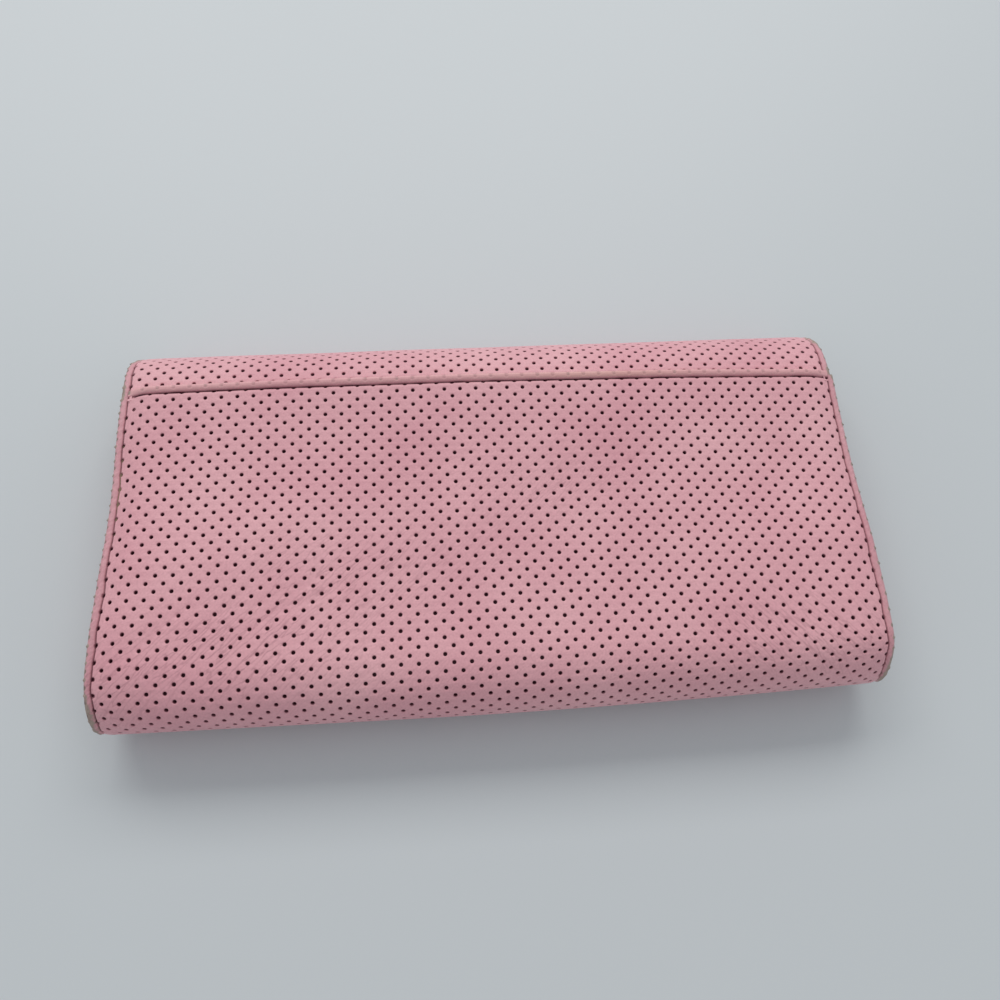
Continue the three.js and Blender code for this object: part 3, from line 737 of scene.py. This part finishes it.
def place_back(track, x, s, d, outline=None, dented=True):
    """Puts flat hide points of the back in space: along the track, with the turned edge, the bow and
    the relief. outline(y, z) is the share of the full width that is left at a place."""
    reach, sunk = turned_edge(x)
    y0, z0 = track.at(s, 0 * s)
    upper = smooth((z0 - 9 * MM) / (10 * MM))
    raised = back_relief(x, y0, track.edge_drop) * upper if dented else 0
    y, z = track.at(s, d + sunk - raised)
    if outline is not None:
        reach = reach * outline(y0, z0)
    z = z + bow(reach, y0) * upper * track.bow_share
    return np.stack([reach + slumped(reach, y0) * upper, y + drawn_in(reach, y0), z], axis=-1)


# %% Marks and finishing
def facing(faces, points, away, sample=0):
    """Turns all the faces over if one of them, the sample, doesn't look the way it should."""
    a, b, c = points[faces[sample][:3]]
    return faces if np.dot(np.cross(b - a, c - b), away) > 0 else faces[:, ::-1]


def hide_marks(points, hole, wear=0.0, fade=0.0):
    """The values that an outer hide stores at its points for the leather material."""
    x, y, z = (points[..., i].ravel() for i in range(3))
    rubbed = corner_wear(x, y) + np.ravel(wear)
    upper = smooth((z - 5 * MM) / (6 * MM))
    crumple, crumple_right = crumple_map(x, y)
    return {"hole": np.ravel(hole), "wear": rubbed, "fade": np.ravel(fade) + 0 * rubbed,
            "crumple": crumple * upper, "crumple_right": crumple_right * upper}


def finished(name, points, faces, marks, material):
    """Makes the mesh, and gives it its material."""
    thing = joined_mesh(name, points.reshape(-1, 3), faces, marks)
    thing.data.materials.append(material)
    return thing


# %% [markdown]
# ## Fields, margins and edges
#
# The next functions lay out everything that shows: the field of real holes, the margins beside it, and
# the edges that run the whole length. Each ends by storing its values and taking its material.

# %% Fields of holes
def field_piece(name, track, s_low, rows, first_row, outline=None):
    """A field of real holes between the two side margins, closed behind by its backing cloth."""
    x, s, d, hole, faces = perforated(-FIELD_SIDE, FIELD_SIDE, s_low, rows, first_row,
                                      np.arange(-COLUMNS, COLUMNS))
    back_x, back_s = np.meshgrid(np.linspace(-FIELD_SIDE, FIELD_SIDE, 2 * COLUMNS + 1),
                                 s_low + np.arange(rows + 1) * HOLE_ALONG)
    back_faces = grid_faces(*back_x.shape)[:, ::-1] + len(x)
    x, s = np.r_[x, back_x.ravel()], np.r_[s, back_s.ravel()]
    d, hole = np.r_[d, np.full(back_x.size, THICK + 0.03 * MM)], np.r_[hole, np.ones(back_x.size)]
    points = place_back(track, x, s, d, outline)
    faces = np.vstack([faces, back_faces])
    return finished(name, points, faces, hide_marks(points, hole), calf)


# %% Side margins
COARSE = 0.22 * MM              # grid across a margin, and fine next to the seam
FINE = 0.11 * MM
ALONG = 0.24 * MM
TUFT_LENGTH = 0.42 * MM         # frayed fibres where the edge cuts a hole


def side_margin(name, hand, track, s_low, s_high, s_hole, first_row, outline=None):
    """The margin outside the field: to the seam, over the strip, round the edge and in as a hem. Where
    the edge cuts a hole, in every second row, a tuft of fibres sticks out."""
    fine_from = SIDE - SEAM_IN - 0.6 * MM
    flat = np.r_[np.arange(FIELD_SIDE, fine_from, COARSE), np.arange(fine_from, EDGE_START, FINE),
                 EDGE_START + np.linspace(0, math.pi, 9) * EDGE_ROUND,
                 EDGE_START + math.pi * EDGE_ROUND + np.linspace(0.3, 1, 4) * HEM]
    along = np.linspace(s_low, s_high, int((s_high - s_low) / ALONG) + 1)
    s, x = np.meshgrid(along, hand * flat, indexing="ij")
    outer = np.abs(x) < EDGE_START + 1.2 * EDGE_ROUND
    inward = np.where(outer, SIDE - np.abs(turned_edge(x)[0]), 9 * MM)
    from_seam = inward + wandering(s) * smooth(inward / (0.8 * MM))
    gap = lattice_distance(x, s, s_hole, first_row)
    dent = smooth((HOLE_RADIUS + 0.12 * MM - gap) / (0.24 * MM))
    on_strip = smooth((SEAM_IN - 0.25 * MM - from_seam) / (0.3 * MM))
    groove_painted_shade = np.exp(-((from_seam - SEAM_IN) / (0.2 * MM)) ** 2)
    # Painted shade: the seam's groove is darkened through the hole value; the strip is also drawn a little
    # darker.
    hole = np.clip(dent * (1 - 0.8 * on_strip) + 0.9 * groove_painted_shade + 0.16 * on_strip, 0, 1)
    ragged = 0.08 * MM * waves(x / MM, s / MM, 21, 6, 0.8, 2.4) * np.exp(-(inward / (1.2 * MM)) ** 2)
    height = seam_shape(from_seam) - dent * (0.75 - 0.6 * on_strip) * MM + ragged
    points = place_back(track, x, s, -height * outer, outline)
    cut = (s - s_hole) / (2 * HOLE_ALONG)
    from_cut = (cut - np.round(cut)) * 2 * HOLE_ALONG
    tuft = np.exp(-(from_cut / (0.36 * MM)) ** 2) * np.exp(-(inward / (0.7 * MM)) ** 2)
    points[..., 0] += hand * TUFT_LENGTH * tuft * (0.7 + 0.3 * waves(s / MM, 0 * s, 17, 5, 0.5, 9))
    faces = facing(grid_faces(*x.shape), points.reshape(-1, 3), up_at(track, s_low))
    marks = hide_marks(points, hole * (1 - 0.5 * tuft), wear=0.6 * dent * on_strip + 1.0 * tuft)
    return finished(name, points, faces, marks, calf)


def up_at(track, s):
    """The direction out of the grain side at a place along a track."""
    y0, z0 = track.at(np.array(s), 0.0)
    y1, z1 = track.at(np.array(s), -1.0)
    return np.array([0, float(y1 - y0), float(z1 - z0)])


# %% Edges across the wallet
EDGE_SAMPLES = 760              # along the length, one to every quarter of a millimetre


def edge_strip(name, track, s_start, knots, half, s_hole, first_row, outline=None, slit_painted_shade=0.55, warm=0.0):
    """Carries an edge's section across the wallet: distances on from s_start and heights, on a smoothed
    line through a few knots, swept in x. The fourth knot is the bottom of the seam's groove, slit sets how
    much painted shade that groove gets, and warm how much of the touched tint the bead has."""
    knots = np.array(knots) * MM
    t = np.r_[0, np.cumsum(np.linalg.norm(np.diff(knots, axis=0), axis=1))]
    fine = np.r_[np.linspace(0, t[-2], 46), t[-1]]
    run, height = np.interp(fine, t, knots[:, 0]), np.interp(fine, t, knots[:, 1])
    soft = np.array([0.25, 0.5, 0.25])
    run[1:-1], height[1:-1] = np.convolve(run, soft, "valid"), np.convolve(height, soft, "valid")
    groove_run = knots[3, 0]
    x = np.linspace(-half, half, EDGE_SAMPLES)
    run_grid, x_grid = np.meshgrid(run, x, indexing="ij")
    height_grid = np.repeat(height[:, None], len(x), axis=1)
    before_turn = (np.arange(len(fine)) < np.argmax(run) + 1)[:, None]
    flat_s = np.repeat((s_start + np.minimum(fine, run.max()))[:, None], len(x), axis=1)
    gap = lattice_distance(x_grid, flat_s, s_hole, first_row)
    dent = smooth((HOLE_RADIUS + 0.1 * MM - gap) / (0.24 * MM)) * before_turn
    groove = np.exp(-((run_grid - groove_run) / (0.25 * MM)) ** 2) * before_turn
    uneven = 1 + 0.3 * waves(x_grid / MM, 0 * x_grid, 5, 6, 3, 22)
    flattened = 1 - 0.8 * np.exp(-((half - abs(x_grid)) / (1.6 * MM)) ** 2)
    height_grid = np.where(height_grid > 0, height_grid * flattened, height_grid)
    on_bead = smooth((run_grid - groove_run - 0.3 * MM) / (0.3 * MM)) * before_turn
    height_grid = height_grid - (0.6 - 0.45 * on_bead) * dent * MM - 0.14 * MM * groove * uneven
    points = place_back(track, x_grid, s_start + run_grid, -height_grid, outline)
    # Painted shade: the seam's groove is darkened through the hole value, by the slit amount.
    hole = np.clip(dent * (1 - 0.75 * on_bead) + slit_painted_shade * groove * uneven, 0, 1)
    touched = warm * on_bead * (0.4 + 0.6 * np.exp(-((x_grid / MM - 30) / 24) ** 2))
    faces = facing(grid_faces(*x_grid.shape), points.reshape(-1, 3), up_at(track, s_start))
    marks = hide_marks(points, hole, wear=0.46 * dent * on_bead, fade=touched)
    return finished(name, points, faces, marks, calf)


# %% [markdown]
# ## Closed sheets
#
# Linings, boards, tapes and slots are thin closed slabs: two grids, one thickness apart, that come
# together along a rounded rim. One function makes them all, from a rule that puts the flat sheet in space.


# %% Closed sheets
def spaced(low, high, step, rim):
    """Coordinates from low to high, close together within a rim's width of either end."""
    near_end = rim * np.array([0, 0.08, 0.3, 0.6])
    inside = np.linspace(low + rim, high - rim, max(int((high - low) / step), 2) + 1)
    return np.r_[low + near_end, inside, (high - near_end)[::-1]]


def closed_sheet(name, across, along, thickness, place, material, step=2.5 * MM, body=None,
                 stands_for=()):
    """A slab with round edges. place(a, b, depth) puts a point of the flat sheet in space; near the
    rim both sides sink by 1 - sqrt(1 - t squared) of half the thickness, and meet."""
    rim = thickness / 2
    a, b = np.meshgrid(spaced(*across, step, rim), spaced(*along, step, rim), indexing="ij")
    depths = []
    for c, (low, high) in ((a, across), (b, along)):
        t = 1 - np.clip(np.minimum(c - low, high - c) / rim, 0, 1)
        depths.append(rim * (1 - np.sqrt(1 - np.clip(t, 0, 1) ** 2)))
    depth = np.maximum(*depths)
    top, under = place(a, b, depth), place(a, b, thickness - depth)
    points = np.concatenate([top.reshape(-1, 3), under.reshape(-1, 3)])
    faces = grid_faces(*a.shape)
    mid = (a.shape[0] // 2, a.shape[1] // 2)
    faces = facing(faces, points, top[mid] - under[mid], sample=mid[0] * (a.shape[1] - 1) + mid[1])
    faces = np.vstack([faces, faces[:, ::-1] + a.size])
    flat = {key: np.zeros(len(points)) for key in ("hole", "fade", "crumple", "crumple_right")}
    t_edge = np.minimum.reduce([a - across[0], across[1] - a, b - along[0], along[1] - b])
    rub = np.tile(0.2 * np.exp(-(t_edge.ravel() / (0.5 * MM)) ** 2), 2)
    thing = finished(name, points, faces, {**flat, "wear": rub}, material)
    if body:
        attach(thing, body)
    if stands_for:
        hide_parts(*stands_for)
    return thing


def flat_place(z_top, grain_up=True, seed=1, corner=None):
    """A rule for a flat layer: level, with waves of a few hundredths of a millimetre, the grain side up
    or down. corner is (half width, end, radius) of rounded corners."""
    def place(x, y, depth):
        """A point of the flat layer in space."""
        z = z_top + (-depth if grain_up else depth) + 0.04 * MM * waves(x / MM, y / MM, seed, 5, 9, 40)
        if corner is not None:
            half, end, radius = corner
            x = x * (1 - rounded_off(y - (end - radius), radius) / half)
        return np.stack([x, y, z], axis=-1)
    return place


def flat_panel(node, body, material, grain_up=True, radius=0.0, seed=1):
    """A flat layer exactly where its CAD node is."""
    low, high = box_of(node)
    corner = (high[0], high[1], radius) if radius else None
    rule = flat_place(high[2] if grain_up else low[2], grain_up, seed, corner)
    return closed_sheet(node + "_sheet", (low[0], high[0]), (low[1], high[1]), high[2] - low[2], rule,
                        material, body=body, stands_for=[node])


# %% Stitches
def stitches(name, start, end, up, body, pitch=3.0 * MM, length=2.3 * MM, radius=0.2 * MM):
    """A row of stitches from start to end: each is a rod with round ends, a little humped so that its
    ends dive into the leather. Rings run along it, and the ring radius is a half ellipse."""
    start, end, up = np.array(start, float), np.array(end, float), np.array(up, float)
    run = end - start
    count = max(int(np.linalg.norm(run) / pitch), 1)
    run /= np.linalg.norm(run)
    side = np.cross(up, run)
    t = np.linspace(-1, 1, 7)[:, None]
    angle = np.arange(6)[None] * math.pi / 3
    ring = radius * np.sqrt(np.clip(1 - t ** 4, 0, 1))
    shape = (t[..., None] * 0.5 * length * run + (ring * np.cos(angle))[..., None] * side
             + (ring * np.sin(angle) + radius * (0.7 - 1.4 * t * t))[..., None] * up)
    centres = start + run * (np.arange(count)[:, None] + 0.5) * pitch
    points = centres[:, None, None, :] + shape[None]
    one = grid_faces(7, 6, closed=True)
    faces = (one[None] + (np.arange(count) * 42)[:, None, None]).reshape(-1, 4)
    faces = facing(faces, points.reshape(-1, 3), points.reshape(-1, 3)[faces[0]].mean(0) - centres[0])
    thing = finished(name, points, faces, {}, thread)
    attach(thing, body)
    return thing


# %% [markdown]
# ## The slip pocket's wall
#
# One hide runs from the front, round the bottom fold and up over the back to the pocket's mouth. Its
# field is made in two sheets, at the fold and on the back, so that neither mesh grows too heavy.

# %% Slip pocket: fields and margins
HOLE_ROW_NEAR_LIP = LIP_Y - 3.64 * MM        # depth of the last full row of holes below the lip
field_top = pocket_track.s_at_depth(HOLE_ROW_NEAR_LIP, z_over=15 * MM) + HOLE_ALONG / 2
pocket_rows = int(field_top // HOLE_ALONG)
field_bottom = field_top - pocket_rows * HOLE_ALONG
FOLD_ROWS = 24
first_row = (pocket_rows - 1) % 2             # keeps the row below the lip on the odd columns
row_zero = field_bottom + HOLE_ALONG / 2

pocket_pieces = [
    field_piece("pocket_wall_fold", pocket_track, field_bottom, FOLD_ROWS, first_row),
    field_piece("pocket_wall_back", pocket_track, field_bottom + FOLD_ROWS * HOLE_ALONG,
                pocket_rows - FOLD_ROWS, first_row + FOLD_ROWS),
]
for side_name, hand in (("left", -1), ("right", 1)):
    pocket_pieces.append(side_margin(f"pocket_margin_{side_name}", hand, pocket_track, 0.0,
                                     pocket_track.length - 0.6 * MM, row_zero, first_row))

# %% [markdown]
# ## The rolled lip
#
# At the pocket's mouth the leather is rolled over and sewn. Seen from the back it is a bead as wide as
# the side strips, with the seam below it and the full thickness of the roll towards the spine. Its seam
# cuts through a row of holes, and its groove gets painted shade, darkest where the holes are.

# %% Slip pocket: lip and foot
LIP_KNOTS = [[0, 0], [0.45, -0.04], [0.75, -0.2], [1.0, -0.6], [1.2, -0.35], [1.45, 0.1], [1.9, 0.36],
             [2.5, 0.42], [2.95, 0.18], [3.1, -0.35], [2.8, -0.95], [1.8, -1.3], [-4, -1.25]]
# The lip's seam groove gets the full painted shade.
pocket_pieces.append(edge_strip("pocket_lip", pocket_track, field_top, LIP_KNOTS, SIDE - SEAM_IN,
                                row_zero, first_row, slit_painted_shade=1.0, warm=0.5))
pocket_pieces.append(closed_sheet(
    "pocket_foot", (-FIELD_SIDE, FIELD_SIDE), (-0.2 * MM, field_bottom), THICK,
    lambda x, s, d: place_back(pocket_track, x, s, d), calf, step=1 * MM))
for piece in pocket_pieces:
    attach(piece, "back")
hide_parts("pocket_wall")

# %% [markdown]
# ## The long hide: band, spine and flap
#
# The second outer hide starts under the pocket's lip, shows as a band, turns down over the spine and
# under, and becomes the flap that the wallet lies on. It crosses both hinges, so it is made in pieces
# that each bend across one hinge and meet in the middle of the spine.

# %% Long hide
SPINE_MIDDLE_Z = 9 * MM
UNDER_LIP = 6.3 * MM            # how far the band runs in under the pocket's lip
lip_cover = hide_track.s_at_depth(LIP_Y - UNDER_LIP, z_over=15 * MM)
spine_points = hide_track.points
spine_middle = float(hide_track.length_at[np.argmin(np.hypot(spine_points[:, 0] - SPINE_Y,
                                                             spine_points[:, 1] - SPINE_MIDDLE_Z))])
band_rows = round((spine_middle - lip_cover) / HOLE_ALONG)
band_end = lip_cover + band_rows * HOLE_ALONG
FLAP_TURN_ROWS = 24
flap_rows = int((hide_track.length - 2.2 * MM - band_end) / HOLE_ALONG)
flap_end = band_end + flap_rows * HOLE_ALONG
hide_row_zero = lip_cover + HOLE_ALONG / 2

band_pieces = [field_piece("band_leather", hide_track, lip_cover, band_rows, 0, hide_outline)]
flap_pieces = [
    field_piece("flap_leather_turn", hide_track, band_end, FLAP_TURN_ROWS, band_rows, hide_outline),
    field_piece("flap_leather_free", hide_track, band_end + FLAP_TURN_ROWS * HOLE_ALONG,
                flap_rows - FLAP_TURN_ROWS, band_rows + FLAP_TURN_ROWS, hide_outline),
]
for side_name, hand in (("left", -1), ("right", 1)):
    band_pieces.append(side_margin(f"band_margin_{side_name}", hand, hide_track, lip_cover, band_end,
                                   hide_row_zero, 0, hide_outline))
    flap_pieces.append(side_margin(f"flap_margin_{side_name}", hand, hide_track, band_end,
                                   hide_track.length - 0.4 * MM, hide_row_zero, 0, hide_outline))
spare = (hide_track.length - flap_end) / MM
FLAP_KNOTS = [[0, 0], [spare - 2.2, -0.03], [spare - 1.8, -0.16], [spare - 1.5, -0.5], [spare - 1.3, -0.34],
              [spare - 1.0, -0.12], [spare - 0.7, -0.1], [spare - 0.3, -0.25], [spare - 0.05, -0.6],
              [spare - 0.02, -1.0], [spare - 0.3, -1.5], [spare - 0.8, -1.7], [spare - 6, -1.7]]
flap_pieces.append(edge_strip("flap_free_edge", hide_track, flap_end, FLAP_KNOTS, SIDE - SEAM_IN,
                              hide_row_zero, 0, hide_outline))
for piece in band_pieces:
    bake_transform(piece)
for piece in flap_pieces:
    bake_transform(piece)
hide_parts("back_panel", "spine_leather")
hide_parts("flap_leather")

# %% [markdown]
# ## Linings of the flap, spine and back
#
# A smooth lining leather covers the inside in one run. It lies on boards in the flap and the back and
# directly on the hide round the spine, so its depth below the grain side changes along the way. The
# slip pocket has a cotton twill lining, cut flat and laid on the back board.

# %% Linings and boards
INNER_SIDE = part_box("back_lining")[1][0]
lining_low, lining_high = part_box("flap_lining")
LINING = lining_high[2] - lining_low[2]
ON_BOARD, ON_HIDE = lining_low[2], THICK + 0.2 * MM


def lining_depth(s):
    """Depth of the lining's hidden side below the grain side: on the board, or near the spine on the
    hide."""
    bare_from = hide_track.s_at_depth(SPINE_Y - 20 * MM, z_over=15 * MM)
    bare_to = hide_track.length - (SPINE_Y - 6 * MM - FLAP_EDGE) + 4 * MM
    away = np.maximum(bare_from - s, s - bare_to)
    return ON_HIDE + (ON_BOARD - ON_HIDE) * smooth(away / (6 * MM) + 1)


def lining_place(a, s, depth):
    """Puts flat lining points in space, with the smooth side facing the inside."""
    return place_back(hide_track, a, s, lining_depth(s) + LINING - depth, hide_outline, dented=False)


upper_lining = closed_sheet("back_and_spine_lining", (-INNER_SIDE, INNER_SIDE), (0, band_end), LINING,
                            lining_place, lining_calf, step=2 * MM)
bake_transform(upper_lining)
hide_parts("back_lining", "spine_lining")
lower_lining = closed_sheet("flap_lining_leather", (-INNER_SIDE, INNER_SIDE),
                            (band_end, hide_track.length - 1.6 * MM), LINING, lining_place, lining_calf,
                            step=2 * MM)
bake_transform(lower_lining)
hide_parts("flap_lining")

board_low, board_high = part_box("back_board")
BOARD_THICK = board_high[2] - board_low[2]
board_from, board_to = (hide_track.s_at_depth(y, z_over=15 * MM) for y in (board_low[1], board_high[1]))
closed_sheet("back_stiffener", (-INNER_SIDE, INNER_SIDE), (board_from, board_to), BOARD_THICK,
             lambda x, s, d: place_back(hide_track, x, s, d + THICK + 0.2 * MM, dented=False),
             board, body="back", stands_for=["back_board"])

cloth_low, cloth_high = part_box("pocket_lining")
cloth_from = pocket_track.s_at_depth(cloth_low[1], z_over=15 * MM)
cloth_to = pocket_track.s_at_depth(cloth_high[1] + 0.5 * MM, z_over=15 * MM)
pocket_cloth = closed_sheet(
    "pocket_twill_lining", (-INNER_SIDE + 2 * MM, INNER_SIDE - 2 * MM), (cloth_from, cloth_to), 0.5 * MM,
    lambda x, s, d: place_back(pocket_track, x, s, d + THICK + 0.25 * MM),
    pocket_twill, body="back", stands_for=["pocket_lining"])

# %% [markdown]
# ## Front, card slots and coin pocket
#
# Behind the flap is the front panel with an apron and two columns of card slots. Each slot leans back
# like a roof tile. Their grain side faces the flap, so it looks down while the wallet lies closed.

# %% Front and card slots
flat_panel("front_panel", "front", calf, grain_up=False, radius=4 * MM, seed=41)
flat_panel("front_lining", "front", lining_calf, radius=4 * MM, seed=42)
flat_panel("front_apron", "front", lining_calf, grain_up=False, seed=43)
SLOT_LEATHER = 0.45 * MM
MOUTH_SEAM = 2 * MM             # seam to the mouth it follows


def card_slot(node, seed):
    """A slot's leaf: its mouth lies on the front, and its foot is sunk behind the next mouth."""
    low, high = box_of(node)
    fall = high[2] - low[2] - SLOT_LEATHER

    def place(x, y, depth):
        """Sinks the leaf from its mouth to its foot, with slight waves."""
        dip = fall * (high[1] - y) / (high[1] - low[1])
        wavy = 0.03 * MM * waves(x / MM, y / MM, seed, 5, 9, 40)
        return np.stack([x, y, low[2] + dip + depth + wavy], axis=-1)
    closed_sheet(node + "_leaf", (low[0], high[0]), (low[1], high[1]), SLOT_LEATHER, place, lining_calf,
                 body="front", stands_for=[node])
    y = high[1] - MOUTH_SEAM
    z = low[2] + fall * MOUTH_SEAM / (high[1] - low[1])
    stitches(node + "_mouth_stitches", (low[0] + 1 * MM, y, z), (high[0] - 1 * MM, y, z), (0, 0, -1),
             "front")


for side_name in ("left", "right"):
    for row in (1, 2, 3):
        card_slot(f"card_slot_{side_name}_{row}", 50 + row)

apron_low, apron_high = box_of("front_apron")
apron_y = apron_high[1] - MOUTH_SEAM
stitches("apron_mouth_stitches", (apron_low[0] + 2 * MM, apron_y, apron_low[2]),
         (apron_high[0] - 2 * MM, apron_y, apron_low[2]), (0, 0, -1), "front")
flap_inner = ON_BOARD + LINING
for side_name, hand in (("left", -1), ("right", 1)):
    x = hand * (INNER_SIDE - 2.2 * MM)
    stitches(f"flap_side_stitches_{side_name}", (x, FLAP_EDGE + 14 * MM, flap_inner),
             (x, SPINE_Y - 14 * MM, flap_inner), (0, 0, 1), "flap")
stitches("flap_edge_stitches", (-INNER_SIDE + 13 * MM, FLAP_EDGE + 4 * MM, flap_inner),
         (INNER_SIDE - 13 * MM, FLAP_EDGE + 4 * MM, flap_inner), (0, 0, 1), "flap")

# %% Coin pocket walls and tapes
for name, grain_up, seed in (("front", False, 61), ("back", True, 62)):
    flat_panel(f"coin_{name}_wall", "coin_pocket", lining_calf, grain_up, seed=seed)
chain_low, chain_high = box_of("zip_chain")
CHAIN_MIDDLE = (chain_low[2] + chain_high[2]) / 2
for name, facing_front in (("front", True), ("back", False)):
    node = f"zip_tape_{name}"
    low, high = box_of(node)
    reach = chain_low[1] + 2.4 * MM * 0.5

    def tape_place(x, y, depth, high=high, hand=-1 if facing_front else 1):
        """A level tape whose free edge leans towards the chain."""
        lean = smooth((y - high[1] + 2.5 * MM) / (3 * MM)) * hand * 0.25 * MM
        return np.stack([x, y, high[2] - depth - lean], axis=-1)
    tape = closed_sheet(f"zip_{name}_ribbon", (low[0], high[0]), (low[1] - 1 * MM, reach), high[2] - low[2],
                        tape_place, tape_twill, body="coin_pocket", stands_for=[node])
for name, up in (("front", -1), ("back", 1)):
    low, high = box_of(f"coin_{name}_wall")
    z = high[2] if up > 0 else low[2]
    stitches(f"coin_{name}_stitches", (low[0] + 6 * MM, high[1] - 2.2 * MM, z),
             (high[0] - 6 * MM, high[1] - 2.2 * MM, z), (0, 0, up), "coin_pocket")

# %% [markdown]
# ## Zip chain
#
# A metal chain has two rows of teeth that interlock. A tooth is a rounded block, a superellipsoid, and
# the two rows are half a pitch apart. With a few dozen faces each, two hundred teeth stay light.

# %% Zip chain
TOOTH_PITCH = 1.7 * MM


def zip_teeth():
    """Superellipsoids: signed powers of the cosines and sines of two angles, at every half pitch,
    alternating between the two tapes."""
    def power(v):
        """A signed power below one squares a round outline."""
        return np.sign(v) * np.abs(v) ** 0.45
    lat = np.linspace(-math.pi / 2, math.pi / 2, 6)[:, None]
    lon = (np.arange(8) + 0.5)[None] * math.pi / 4
    size = np.array([0.42, 0.5 * (chain_high[1] - chain_low[1]) / MM, 0.95]) * MM
    block = np.stack([power(np.cos(lat)) * power(np.cos(lon)) * size[0],
                      power(np.cos(lat)) * power(np.sin(lon)) * size[1],
                      power(np.sin(lat)) * size[2] + 0 * lon], axis=-1)
    count = int((chain_high[0] - chain_low[0]) / (TOOTH_PITCH / 2)) - 1
    n = np.arange(count)
    chain_y = np.full(count, (chain_low[1] + chain_high[1]) / 2)
    centres = np.stack([chain_low[0] + (n + 1) * TOOTH_PITCH / 2, chain_y,
                        CHAIN_MIDDLE + np.where(n % 2, 0.45, -0.45) * MM], axis=-1)
    points = centres[:, None, None] + block[None]
    faces = (grid_faces(6, 8, closed=True)[None] + (n * 48)[:, None, None]).reshape(-1, 4)
    flat = points.reshape(-1, 3)
    faces = facing(faces, flat, flat[faces[0]].mean(0) - centres[0])
    thing = finished("zip_teeth", points, faces, {}, gold)
    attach(thing, "coin_pocket")
    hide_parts("zip_chain")


zip_teeth()

# %% [markdown]
# ## Gussets
#
# Each bill compartment has a strip at either end that folds inwards like bellows. Its section is a
# sideways V with a soft fold, and the ones at the back are blended between the two walls they join.


# %% Gussets
def gusset(node, follows_back):
    """The V's section in x and z as two curves, made a track and drawn along the depth."""
    low, high = box_of(node)
    hand = 1 if low[0] > 0 else -1
    outer, fold = (high[0], low[0]) if hand > 0 else (low[0], high[0])
    middle = (low[2] + high[2]) / 2
    crown = np.array([fold, middle])
    first = bezier(np.array([outer, low[2]]), np.array([outer - hand * 4 * MM, low[2] + 0.3 * MM]),
                   crown + [0, -1.1 * MM], crown, 14)
    second = bezier(crown, crown + [0, 1.1 * MM], np.array([outer - hand * 4 * MM, high[2] - 0.3 * MM]),
                    np.array([outer, high[2]]), 14)
    section = Track(np.vstack([first, second[1:]]), side=hand)

    def place(s, y, depth):
        """Puts flat gusset points in space: s round the section, y along the depth."""
        x, z = section.at(s, depth)
        share = (z - low[2]) / (high[2] - low[2]) if follows_back else 0
        return np.stack([x, y, z + hide_track.bow_share * bow(x, y) * share], axis=-1)
    thing = closed_sheet(node + "_bellows", (0, section.length), (low[1], high[1]), 0.45 * MM, place,
                         lining_calf, step=0.8 * MM)
    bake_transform(thing)
    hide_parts(node)


for side_name in ("left", "right"):
    gusset(f"back_gusset_{side_name}", True)
    gusset(f"front_gusset_{side_name}", False)

# %% [markdown]
# ## Hardware and boards that keep their CAD shape
#
# The slider, the puller, the stops and the snap are small castings and pressings whose CAD shape is
# already right. They only need their finish: pale gold plating on what shows, nickel on the backing plates.

# %% Hardware
for node, material in (("zip_slider", gold), ("zip_puller", gold), ("zip_stop_left", gold),
                       ("zip_stop_right", gold), ("snap_socket", gold), ("snap_stud", gold),
                       ("snap_socket_plate", steel), ("snap_stud_plate", steel), ("flap_board", board)):
    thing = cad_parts[node]
    thing.data.materials.clear()
    thing.data.materials.append(material)
